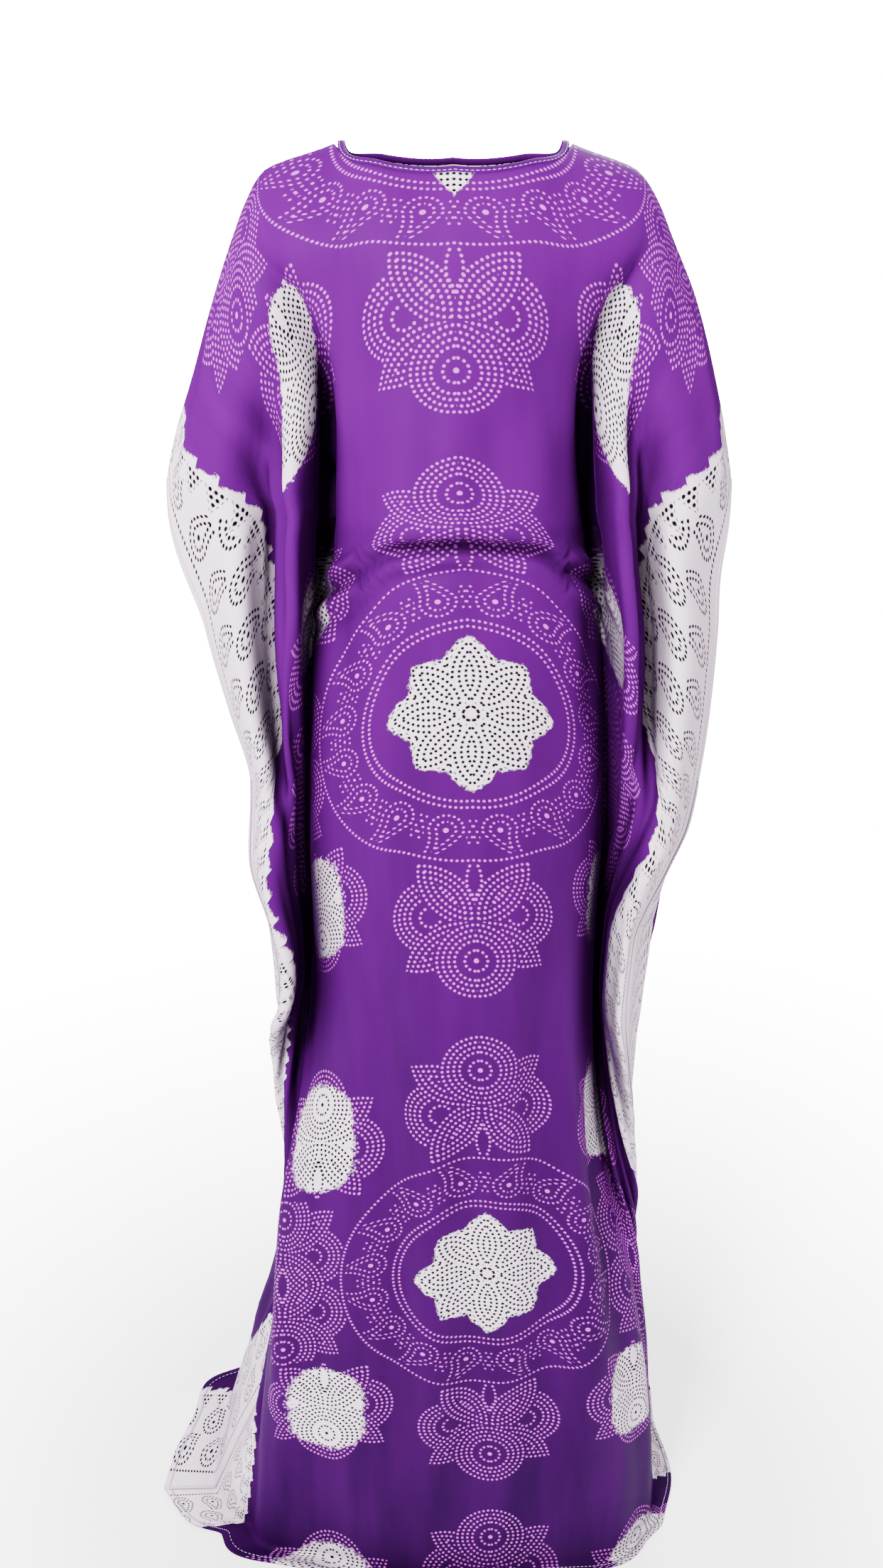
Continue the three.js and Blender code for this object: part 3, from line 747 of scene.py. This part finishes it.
# The print, on the flat cloth in millimetres. It repeats along the length and mirrors on
# the centre line and on the middle of each repeat.
PRINT_REPEAT = 625
ROW_PITCH = 5.7
CORE_ROW = 27
DOT_PITCH = 5.2
DOT_SIZE = 1.3
BLACK_DOT_MORE = 0.35
RING_RADIUS = 162
RING_SQUASH = 1.1
DOUBLE_RING = (103, 96)
PAISLEYS_A_QUARTER = 4
PAISLEY_RING = 129
STAR_RADIUS = 70
MEDALLION_DOWN = 212
SIDE_MEDALLION = (188, 176)
ROSETTE = (236, 46)
BORDER_WIDTH = 118
BORDER_WAVE = 34
BORDER_STEP = 9
EDGE_LINE = 22
CLUSTER_STEP = 27

# Sizes of its motifs. A place is (x, y) from the motif's middle, and a petal has half its
# length, half its width and, where it leans, its angle.
STAR_PETAL = (38, 33, 15.5)
LOTUS_LOBE = (42, -8, 37)
LOTUS_PETALS = (((25, -30), 42, 19, 40), ((33, 24), 41, 18, 124))
LOTUS_SCALLOP = (40, 38)
LOTUS_STEM = (-44, 22, 7)
LOTUS_REACH = 90
PAISLEY_HEAD = 16.5
PAISLEY_TAIL = 36
BORDER_PAISLEY = (54, 42)
BORDER_PAISLEYS_FROM = 28
LEAVES_FROM = 112

# Where each lotus medallion's part of the cloth begins
SIDE_FROM = 108
SIDE_REACH = 96
ROSETTE_FROM = 150


def printed_cloth_colours(u, v, noise):
    x = u.math("ABSOLUTE")
    repeat = v - (v / PRINT_REPEAT).math("ROUND") * PRINT_REPEAT
    y = repeat.math("ABSOLUTE")
    at_neck = within(v.math("ABSOLUTE"), PRINT_REPEAT / 2 - 0.5)
    ring_down = y * RING_SQUASH
    away = away_from_middle(x, ring_down)
    angle = x.math("ARCTAN2", ring_down)
    ragged = noise * 7
    edge = CLOTH_HALF_WIDTH - x
    in_ring = within(away, RING_RADIUS + 4)
    outside = 1 - in_ring

    # the white star patch in the ring, with its brushed edge: longer at the neck
    star_away = away_from_middle(x, y)
    angle_down = x.math("ARCTAN2", y)
    star_angle = angle_down - (angle_down / (math.pi / 4)).math("ROUND") * (math.pi / 4)
    outline = STAR_RADIUS + 5 - star_angle.math("ABSOLUTE") * 38
    outline = outline + at_neck * (24 - x).math("MAXIMUM", 0) * 0.95
    star = within(star_away + ragged, outline + (angle_down * 4).math("COSINE") * 3, 0.9)

    # which lotus medallion this is, and the place in it
    low_down = at_least(y, SIDE_FROM)
    at_side = at_least(SIDE_REACH - (x - SIDE_MEDALLION[0]).math("ABSOLUTE"), 0) * low_down
    at_rosette = at_least(x, ROSETTE_FROM) * (1 - low_down)
    lotus_x = choose(at_side, x, (x - SIDE_MEDALLION[0]).math("ABSOLUTE"))
    lotus_x = choose(at_rosette, lotus_x, (x - ROSETTE[0]).math("ABSOLUTE"))
    lotus_y = choose(at_side, y - MEDALLION_DOWN, y - SIDE_MEDALLION[1])
    lotus_y = choose(at_rosette, lotus_y, y - ROSETTE[1])

    # the white patches of the side medallions: narrow and leaning on the chest
    patch_x = x - SIDE_MEDALLION[0] - at_neck * (lotus_y * 0.45 + 10)
    patch_x = patch_x / (50 - at_neck * 8)
    patch_y = (lotus_y - 2 - at_neck * 4) / (at_neck * 5 + 62)
    patch = away_from_middle(patch_x, patch_y * patch_y) * 50 + noise * 18
    patch = within(patch, 46, 1.2) * at_side * outside

    # the white border along the selvedge, with its brushed and stepped inner edge
    wave = (y * (2 * math.pi / PRINT_REPEAT)).math("COSINE") * -BORDER_WAVE
    step_wave = ((v / CLUSTER_STEP).math("FRACT") - 0.5) * BORDER_STEP
    inner_edge = wave + step_wave + ragged * 1.1 + BORDER_WIDTH
    border = within(edge - inner_edge, 0, 1.2)
    white = border.math("MAXIMUM", patch).math("MAXIMUM", star)
    size = white * BLACK_DOT_MORE + DOT_SIZE

    # the circles of the ring
    ring = dot_circle(away, angle, RING_RADIUS, DOT_PITCH, DOT_SIZE)
    for radius in DOUBLE_RING:
        ring = ring.math("MAXIMUM", dot_circle(away, angle, radius, DOT_PITCH, DOT_SIZE))
    turn = math.pi / 2 / PAISLEYS_A_QUARTER
    share = (angle / turn).math("FLOOR")
    lean = angle - (share + 0.5) * turn
    ring_x = away * lean.math("SINE")
    ring_y = away * lean.math("COSINE") - PAISLEY_RING

    # one paisley, either in the ring or in a row down the border: a round head of dotted
    # outlines that narrows into a tail curling to one side
    step, row_height = BORDER_PAISLEY
    border_row = ((edge - BORDER_PAISLEYS_FROM) / row_height).math("FLOOR")
    border_step = v / step + border_row * 0.5
    border_x = (border_step - border_step.math("ROUND")) * step
    border_y = edge - (BORDER_PAISLEYS_FROM + 18) - border_row * row_height
    in_border = at_least(inner_edge - 26, edge) * at_least(edge, BORDER_PAISLEYS_FROM)
    px = choose(in_border, ring_x, border_x)
    py = choose(in_border, ring_y, border_y)
    tail = py.math("MAXIMUM", 0)
    px = px - tail * tail * 0.014
    narrowing = (1 - tail / (PAISLEY_TAIL + 4)).math("MAXIMUM", 0.06)
    head = py.math("MINIMUM", 0)
    round_away = away_from_middle(px / narrowing, head)
    inward = (PAISLEY_HEAD - round_away) * narrowing
    row = nearest_row(inward, 7, 2)
    along = head.math("ARCTAN2", px.math("ABSOLUTE")) * (PAISLEY_HEAD - row) - tail
    paisley = dots(inward - row, along, DOT_PITCH, size * 0.9 + in_border * 0.4)
    paisley = paisley.math("MAXIMUM", within(away_from_middle(px, py), 2.6))
    paisley = paisley * within(tail, PAISLEY_TAIL)

    # small leaves of dots between the paisleys
    leaf_x = away * (lean.math("ABSOLUTE") - turn / 2)
    leaf_y = away - LEAVES_FROM
    row = nearest_row(leaf_y, 6, 6, first=1)
    leaf = dots(leaf_y - row, leaf_x + row * 0.5, 5.5, DOT_SIZE * 0.85)
    leaf = leaf * within(leaf_x.math("ABSOLUTE") - leaf_y * 0.14, 3)
    in_band = within((away - 130).math("ABSOLUTE"), 27)
    ring = ring.math("MAXIMUM", paisley.math("MAXIMUM", leaf) * in_band)

    # the star: eight petals of dots, one row inside the other
    star_x = star_away * star_angle.math("SINE")
    star_y = star_away * star_angle.math("COSINE")
    middle, half_length, half_width = STAR_PETAL
    inward, turned, radius = petal(star_x, star_y - middle, half_length, half_width)
    row = nearest_row(inward, 6, 3)
    star_dots = dots(inward - row, turned * (radius - row), 5, size)
    between = dots(star_away - (star_away / 6).math("ROUND") * 6, star_angle * star_away, 5, size)
    star_dots = star_dots.math("MAXIMUM", between * within(inward, -4))

    # the lotus: round side lobes, then two pointed petals up, two down, and the scallop
    middle_x, middle_y, radius = LOTUS_LOBE
    lobe_x, lobe_y = lotus_x - middle_x, lotus_y - middle_y
    inward = radius - away_from_middle(lobe_x, lobe_y)
    turned = lobe_y.math("ARCTAN2", lobe_x)
    for place, half_length, half_width, degrees in LOTUS_PETALS:
        tx, ty = seen_from(lotus_x, lotus_y, *place, degrees)
        new_inward, new_turned, new_radius = petal(tx, ty, half_length, half_width)
        mask = at_least(new_inward, -3.5)
        inward = choose(mask, inward, new_inward)
        turned = choose(mask, turned, new_turned)
        radius = choose(mask, radius, new_radius)
    middle, scallop_radius = LOTUS_SCALLOP
    low_y = lotus_y - middle
    new_inward = scallop_radius - away_from_middle(lotus_x, low_y)
    mask = at_least(new_inward, -3.5)
    inward = choose(mask, inward, new_inward)
    turned = choose(mask, turned, low_y.math("ARCTAN2", lotus_x))
    radius = choose(mask, radius, scallop_radius)
    row = nearest_row(inward, ROW_PITCH, 4)
    row = choose(at_least(inward, 22.5), row, CORE_ROW)
    lotus = dots(inward - row, turned * (radius - row), DOT_PITCH, size)
    heart = within(away_from_middle(lotus_x, low_y), 2.4)
    middle, half_length, half_width = LOTUS_STEM
    stem_inward, stem_turned, stem_radius = petal(
        lotus_x, lotus_y - middle, half_length, half_width
    )
    stem = dots(stem_inward, stem_turned * stem_radius, DOT_PITCH, size)
    lotus = lotus.math("MAXIMUM", heart.math("MAXIMUM", stem))
    in_lotus = within(away_from_middle(lotus_x, lotus_y - 6), LOTUS_REACH)
    lotus = lotus * in_lotus * outside * within(BORDER_WIDTH - 4 - edge, 0)

    # the border's dotted line, and the small triangles of dots at its stepped edge
    line = dots(edge - EDGE_LINE, v, 6, 2)
    cluster_v = v / CLUSTER_STEP
    cluster_v = (cluster_v - cluster_v.math("ROUND")) * CLUSTER_STEP
    cluster_edge = edge - (wave + BORDER_WIDTH - 22)
    row = nearest_row(cluster_edge, 6, 3, first=-1)
    cluster = dots(cluster_edge - row, cluster_v + row * 0.5, 6, 2.1)
    cluster = cluster * within(cluster_v.math("ABSOLUTE") - cluster_edge * 0.5, 5)
    border_dots = line.math("MAXIMUM", cluster * border)
    border_dots = border_dots.math("MAXIMUM", paisley * in_border)

    black_dots = border_dots.math("MAXIMUM", star * star_dots)
    black_dots = black_dots.math("MAXIMUM", lotus * white)
    pink_dots = ring.math("MAXIMUM", lotus) * (1 - white)
    return white, pink_dots, black_dots


# Viscose challis: a thin plain weave with a soft surface. It gives the eye a matt cloth
# with a faint sheen where it turns away, and colours printed into it, with painted sheen
# streaks and painted shade in the hollows between its folds.
printed_viscose = new_material("printed_viscose", "#7d13b4")
place = node("UVMap", {}, uv_map="cloth")
flat_mm = node("VectorMath", [place, (1000, 1000, 0)], operation="MULTIPLY")
u = node("SeparateXYZ", [flat_mm])
v = Amount(u.socket.node.outputs[1])
brush = node("TexNoise", {"Vector": flat_mm, "Scale": 0.16, "Detail": 4, "Roughness": 0.8})
white, pink_dots, black_dots = printed_cloth_colours(u, v, brush * 2 - 1)

# The purple darkens towards the hem. Upright streaks of lighter and darker purple over 60
# to 200 mm are painted sheen, and the slubs make the dye a little uneven along the threads.
painted_sheen_place = node("VectorMath", [flat_mm, (1.8, 0.3, 1)], operation="MULTIPLY")
painted_sheen_streaks = node("TexNoise", {"Vector": painted_sheen_place, "Scale": 0.012, "Detail": 3})
slub_place = node("VectorMath", [flat_mm, (0.02, 0.9, 1)], operation="MULTIPLY")
slub = node("TexNoise", {"Vector": slub_place, "Scale": 1, "Detail": 2})
hem_dark_and_painted_sheen = (v.math("ABSOLUTE") / CLOTH_DROP) * 0.8 + painted_sheen_streaks * 0.6 + slub * 0.08 - 0.3
PURPLE_TOP = "#54006a"
PURPLE_HEM = "#120026"
WHITE = "#f4dff2"
PINK = "#cc54d6"
BLACK = "#060408"
purple = node("Mix", {0: hem_dark_and_painted_sheen, 6: colour(PURPLE_TOP), 7: colour(PURPLE_HEM)}, out=2,
              data_type="RGBA")
ground = node("Mix", {0: white, 6: purple, 7: colour(WHITE)}, out=2, data_type="RGBA")
ground = node("Mix", {0: pink_dots, 6: ground, 7: colour(PINK)}, out=2,
              data_type="RGBA")
ground = node("Mix", {0: black_dots, 6: ground, 7: colour(BLACK)}, out=2,
              data_type="RGBA")

# Painted shade: the colour is darkened towards near-black in the closed hollows between
# the folds of the cloth, by how closed in each place of the surface is.
DEEP_SHADE = "#0a0010"
free = node("AmbientOcclusion", {"Distance": 0.11}, out=1, samples=8)
free = node("MapRange", {"Value": free, "From Min": 0.28, "From Max": 0.9, "To Min": 0.02})
ground = node("Mix", {0: free, 6: colour(DEEP_SHADE), 7: ground}, out=2,
              data_type="RGBA")

# Threads: the real ones are 0.35 mm apart, drawn 1.4 mm apart so that they show.
THREAD_SPACING = 1.4
warp = (u * (2 * math.pi / THREAD_SPACING)).math("SINE")
weft = (v * (2 * math.pi / THREAD_SPACING)).math("SINE")
weave = warp * weft + slub
bump = node("Bump", {"Strength": 0.12, "Distance": 0.0002, "Height": weave})
surface = node("BsdfPrincipled", {
    "Base Color": ground,
    "Roughness": 0.55,
    "Specular IOR Level": 0.02,
    "IOR": 1.47,
    "Sheen Weight": 0.1,
    "Sheen Roughness": 0.5,
    "Sheen Tint": colour("#a800d8"),
    "Normal": bump,
})
node("OutputMaterial", [surface])
cloth.data.materials.append(printed_viscose)
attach(cloth, "root")
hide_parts("front", "back")


# --- Hems --------------------------------------------------------------------------------
# The cloth's own edge, turned in twice and stitched: 12 mm wide along the bottom and
# 8 mm wide round the arm openings. It makes the edge a little thicker and stiffer.
HEM_WIDTH = 12
ARM_HEM_WIDTH = 8
HEM_THICKNESS = 1.9


# A band of the cloth between two widths and two distances down, moved out by a lift.
def band(panel, from_across, to_across, from_down, to_down, across_steps, down_steps, lift=0):
    across = np.linspace(from_across, to_across, across_steps + 1)[None, :]
    down = np.linspace(from_down, to_down, down_steps + 1)[:, None]
    across, down = np.broadcast_arrays(across, down)
    points, normal = panel_grid(panel, across, down)
    return points + normal * lift, across, -panel * down, panel


hem = sheet_object("bottom_hem", [
    band(panel, -CLOTH_HALF_WIDTH, CLOTH_HALF_WIDTH, CLOTH_DROP - HEM_WIDTH, CLOTH_DROP, 240, 3)
    for panel in (-1, 1)
])
thicken(hem, HEM_THICKNESS)
arm_hems = sheet_object("arm_opening_hems", [
    band(panel, *sorted([side * (CLOTH_HALF_WIDTH - ARM_HEM_WIDTH), side * CLOTH_HALF_WIDTH]),
         0, ARM_OPENING, 3, 110)
    for panel in (-1, 1)
    for side in (-1, 1)
])
thicken(arm_hems, HEM_THICKNESS)
for piece in (hem, arm_hems):
    piece.data.materials.append(printed_viscose)
    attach(piece, "root")


# --- Side seams --------------------------------------------------------------------------
# The two selvedges of the cloth are laid over each other and felled: a raised ridge of
# cloth 6 mm wide from the arm opening to the hem, with two rows of stitches.
SEAM_WIDTH = 6
SEAM_THICKNESS = 1.6
for side, name in ((-1, "left_side_seam"), (1, "right_side_seam")):
    edges = sorted([side * (CLOTH_HALF_WIDTH - SEAM_WIDTH), side * CLOTH_HALF_WIDTH])
    seam = sheet_object(name, [band(-1, *edges, ARM_OPENING, CLOTH_DROP, 3, 300, lift=0.8)])
    thicken(seam, SEAM_THICKNESS)
    seam.data.materials.append(printed_viscose)
    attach(seam, "root")


# --- Neck binding ------------------------------------------------------------------------
# A narrow strip of the plain purple cloth, folded round the raw neck edge and sewn on all
# the way round. It is 6 mm wide, softly rounded, and holds the neck hole's shape.
BINDING_REACH = 3.2
BINDING_HALF_THICKNESS = 1.1
BINDING_MIDDLE = 2.9
BINDING_CORNERS = 12
NECK_POINTS = 72


def neck_edge(panel):
    turn = np.linspace(0, np.pi, NECK_POINTS + 1)
    across = -NECK_HALF_WIDTH * np.cos(turn)[None, :]
    drop = neck_drop(panel, across)
    down = drop + np.array([0, 3, 6])[:, None]
    across = np.broadcast_to(across, down.shape)
    points = drape(panel, across, down).reshape(*down.shape, 3)
    return points[0], grid_normals(points, panel)[0]


front_edge, front_normal = neck_edge(-1)
back_edge, back_normal = neck_edge(1)
edge = np.concatenate([front_edge, back_edge[-2:0:-1]])
edge_normal = np.concatenate([front_normal, back_normal[-2:0:-1]])
for _ in range(3):
    edge_normal = (np.roll(edge_normal, 1, 0) + 2 * edge_normal + np.roll(edge_normal, -1, 0)) / 4
edge_along = np.roll(edge, -1, 0) - np.roll(edge, 1, 0)
edge_along /= np.linalg.norm(edge_along, axis=1, keepdims=True)
edge_inward = np.cross(edge_normal, edge_along)
edge_inward[:, 2] *= 1 - 0.9 * (np.abs(edge[:, 0]) / NECK_HALF_WIDTH).clip(0, 1) ** 8
edge_inward /= np.linalg.norm(edge_inward, axis=1, keepdims=True)
edge_up = np.cross(edge_along, edge_inward)
round_it = np.arange(BINDING_CORNERS + 1) * 2 * np.pi / BINDING_CORNERS
reach_in = BINDING_MIDDLE + BINDING_REACH * np.cos(round_it)
reach_up = BINDING_HALF_THICKNESS * np.sin(round_it)
ring_points = (
    edge[:, None]
    + edge_inward[:, None] * reach_in[None, :, None]
    + edge_up[:, None] * reach_up[None, :, None]
)
ring_points = np.concatenate([ring_points, ring_points[:1]])
lengths = np.linalg.norm(np.diff(ring_points[:, 0], axis=0), axis=1)
walked_round = np.concatenate([[0], np.cumsum(lengths)])[:, None]
girth = np.linspace(0, 14, BINDING_CORNERS + 1)[None, :]
binding = sheet_object("neck_edge_binding", [
    (ring_points, *np.broadcast_arrays(walked_round, girth), 1),
])
made = bmesh.new()
made.from_mesh(binding.data)
bmesh.ops.recalc_face_normals(made, faces=made.faces)
made.to_mesh(binding.data)
made.free()

# Plain purple viscose cut on the bias: the same matt weave, without the print.
plain_viscose = new_material("plain_viscose_binding", "#7a0aa6")
place = node("UVMap", {}, uv_map="cloth")
strip_mm = node("VectorMath", [place, (1000, 1000, 0)], operation="MULTIPLY")
tone = node("TexNoise", {"Vector": strip_mm, "Scale": 0.05, "Detail": 3})
dyed = node("Mix", {0: tone, 6: colour("#4c0062"), 7: colour("#400054")}, out=2,
            data_type="RGBA")
u = node("SeparateXYZ", [strip_mm])
v = Amount(u.socket.node.outputs[1])
weave = ((u + v) * 4.5).math("SINE") * ((u - v) * 4.5).math("SINE")
bump = node("Bump", {"Strength": 0.15, "Distance": 0.0002, "Height": weave})
surface = node("BsdfPrincipled", {
    "Base Color": dyed,
    "Roughness": 0.55,
    "Specular IOR Level": 0.02,
    "IOR": 1.47,
    "Sheen Weight": 0.1,
    "Sheen Roughness": 0.5,
    "Sheen Tint": colour("#a800d8"),
    "Normal": bump,
})
node("OutputMaterial", [surface])
binding.data.materials.append(plain_viscose)
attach(binding, "root")
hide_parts("neck_binding")


# --- Stitches ----------------------------------------------------------------------------
# Lockstitch in pale lilac polyester thread, 3 mm long with 1.5 mm between the stitches:
# one row on each hem and on the neck binding, and two rows on each side seam.
STITCH_STEP = 1.5
THREAD_HALF_WIDTH = 0.32
THREAD_HALF_THICKNESS = 0.2


# Rows of stitches along a line of points, each with its outward direction.
def stitches_on(points, normal):
    count = len(points) // 3
    path = points[: count * 3].reshape(count, 3, 3)
    up = normal[: count * 3].reshape(count, 3, 3)
    along = path[:, 2:] - path[:, :1]
    along = along / np.maximum(np.linalg.norm(along, axis=2, keepdims=True), 1e-9)
    aside = np.cross(up, along)
    taper = np.array([0.45, 1, 0.45])[None, :, None]
    sink = np.array([-0.15, 0.1, -0.15])[None, :, None]
    corners = []
    for across, high in ((-1, -1), (1, -1), (1, 1), (-1, 1)):
        corners.append(
            path
            + up * sink
            + aside * across * THREAD_HALF_WIDTH * taper
            + up * high * THREAD_HALF_THICKNESS * taper
        )
    return np.stack(corners, axis=2).reshape(-1, 12, 3)


# Points of the cloth every stitch step, along a line down or across the flat cloth.
def cloth_line(panel, start, end, lift):
    length = math.hypot(end[0] - start[0], end[1] - start[1])
    count = int(length / STITCH_STEP)
    upright = start[0] == end[0]
    away = np.array([-3.0, 0, 3.0])
    across = np.linspace(start[0], end[0], count)
    down = np.linspace(start[1], end[1], count)
    if upright:
        across = across[:, None] + away[None, :]
        down = np.repeat(down[:, None], 3, axis=1)
    else:
        across = np.repeat(across[None, :], 3, axis=0)
        down = down[None, :] + away[:, None]
    points, normal = panel_grid(panel, across, down)
    middle = (slice(None), 1) if upright else (1, slice(None))
    return points[middle] + normal[middle] * lift, normal[middle]


# The same line with its points an even step apart.
def even_line(points, normal, step):
    lengths = np.linalg.norm(np.diff(points, axis=0), axis=1)
    walked = np.concatenate([[0], np.cumsum(lengths)])
    places = np.arange(0, walked[-1], step)
    return [
        np.stack([np.interp(places, walked, line[:, k]) for k in range(3)], axis=1)
        for line in (points, normal)
    ]


seam_top = 0.8 + SEAM_THICKNESS / 2 + 0.1
hem_top = HEM_THICKNESS / 2 + 0.1
lines = []
for side in (-1, 1):
    for inset in (1.2, SEAM_WIDTH - 1.2):
        place = side * (CLOTH_HALF_WIDTH - inset)
        lines.append(cloth_line(-1, (place, ARM_OPENING), (place, CLOTH_DROP - 4), seam_top))
    for panel in (-1, 1):
        place = side * (CLOTH_HALF_WIDTH - ARM_HEM_WIDTH + 1.2)
        lines.append(cloth_line(panel, (place, 6), (place, ARM_OPENING), hem_top))
for panel in (-1, 1):
    place = CLOTH_DROP - HEM_WIDTH + 1.5
    width = CLOTH_HALF_WIDTH - SEAM_WIDTH
    lines.append(cloth_line(panel, (-width, place), (width, place), hem_top))
on_binding = edge + edge_inward * 1.4 + edge_up * (BINDING_HALF_THICKNESS + 0.02)
lines.append(even_line(on_binding, edge_up, STITCH_STEP))
corners = np.concatenate([stitches_on(*line) for line in lines]) / 1000
faces = []
for first in range(0, len(corners) * 12, 12):
    for ring in (0, 4):
        for k in range(4):
            a, b = first + ring + k, first + ring + (k + 1) % 4
            faces.append((a, b, b + 4, a + 4))
    faces.append((first + 3, first + 2, first + 1, first))
    faces.append((first + 8, first + 9, first + 10, first + 11))
mesh = bpy.data.meshes.new("stitches")
mesh.from_pydata(corners.reshape(-1, 3).tolist(), [], faces)
stitches = bpy.data.objects.new("stitches", mesh)
bpy.context.scene.collection.objects.link(stitches)

# Spun polyester thread: two fine plies twisted, which gives it a dull sheen.
polyester_thread = new_material("polyester_thread", "#c9a6dc")
place = node("TexCoord", {}, out=3)
ply = node("TexWave", {"Vector": place, "Scale": 900, "Distortion": 1})
lilac = node("Mix", {0: ply, 6: colour("#b184cc"), 7: colour("#dcc2ea")}, out=2,
             data_type="RGBA")
surface = node("BsdfPrincipled", {"Base Color": lilac, "Roughness": 0.5})
node("OutputMaterial", [surface])
stitches.data.materials.append(polyester_thread)
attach(stitches, "root")


# --- Floor, light and camera -------------------------------------------------------------
# A pale studio floor that fades into the plain white round it, a soft key light from the
# upper left, a weaker one from the right, and one from behind.
bpy.ops.mesh.primitive_plane_add(size=14, location=(0, 0, FLOOR / 1000))
floor = bpy.context.object
floor.name = "studio_floor"
studio_paper = new_material("studio_paper", "#ffffff")
place = node("TexCoord", {}, out=3)
away = node("VectorMath", [place], out=1, operation="LENGTH")
far = node("MapRange", {"Value": away, "From Min": 0.4, "From Max": 2.2, "To Max": 20})
surface = node("BsdfPrincipled", {
    "Base Color": colour("#fbfafb"),
    "Roughness": 0.8,
    "Emission Color": colour("#ffffff"),
    "Emission Strength": (far + 1.5) * node("LightPath", {}) + 0.2,
})
node("OutputMaterial", [surface])
floor.data.materials.append(studio_paper)

# Where each light stands, what it points at, its size in metres and its power in watts
LIGHTS = {
    "key_light": ((-1.2, -2.2, 1.3), (0.0, 0.0, -0.4), 0.8, 320),
    "side_light": ((2.6, -0.6, 0.8), (0.0, 0.0, -0.6), 1.4, 50),
    "back_light": ((0.6, 2.8, 1.8), (0.0, 0.0, -0.7), 1.6, 220),
}
for name, (location, target, size, power) in LIGHTS.items():
    light = bpy.data.lights.new(name, "AREA")
    light.size = size
    light.energy = power
    lamp = bpy.data.objects.new(name, light)
    bpy.context.scene.collection.objects.link(lamp)
    lamp.location = location
    aim = [b - a for a, b in zip(location, target)]
    lamp.rotation_euler = (
        math.atan2(math.hypot(aim[0], aim[1]), -aim[2]),
        0,
        math.atan2(-aim[0], aim[1]),
    )
world = bpy.data.worlds.new("studio")
world.use_nodes = True
tree = world.node_tree
tree.nodes.clear()
seen = node("LightPath", {})
bright = node("Mix", {0: seen, 2: 0.25, 3: 20.0})
sky = node("Background", {"Color": colour("#ffffff"), "Strength": bright})
node("OutputWorld", [sky])
bpy.context.scene.world = world

# The camera stands at the height of the chest and looks down 20 degrees.
CAMERA_PLACE = (-0.010, -1.165, -0.137)
CAMERA_TILT = 70
CAMERA_LENS = 28.47
lens = bpy.data.cameras.new("camera")
camera = bpy.data.objects.new("camera", lens)
bpy.context.scene.collection.objects.link(camera)
lens.sensor_fit = "VERTICAL"
lens.sensor_height = 36
lens.lens = CAMERA_LENS
camera.location = CAMERA_PLACE
camera.rotation_euler = (math.radians(CAMERA_TILT), 0, 0)
bpy.context.scene.camera = camera
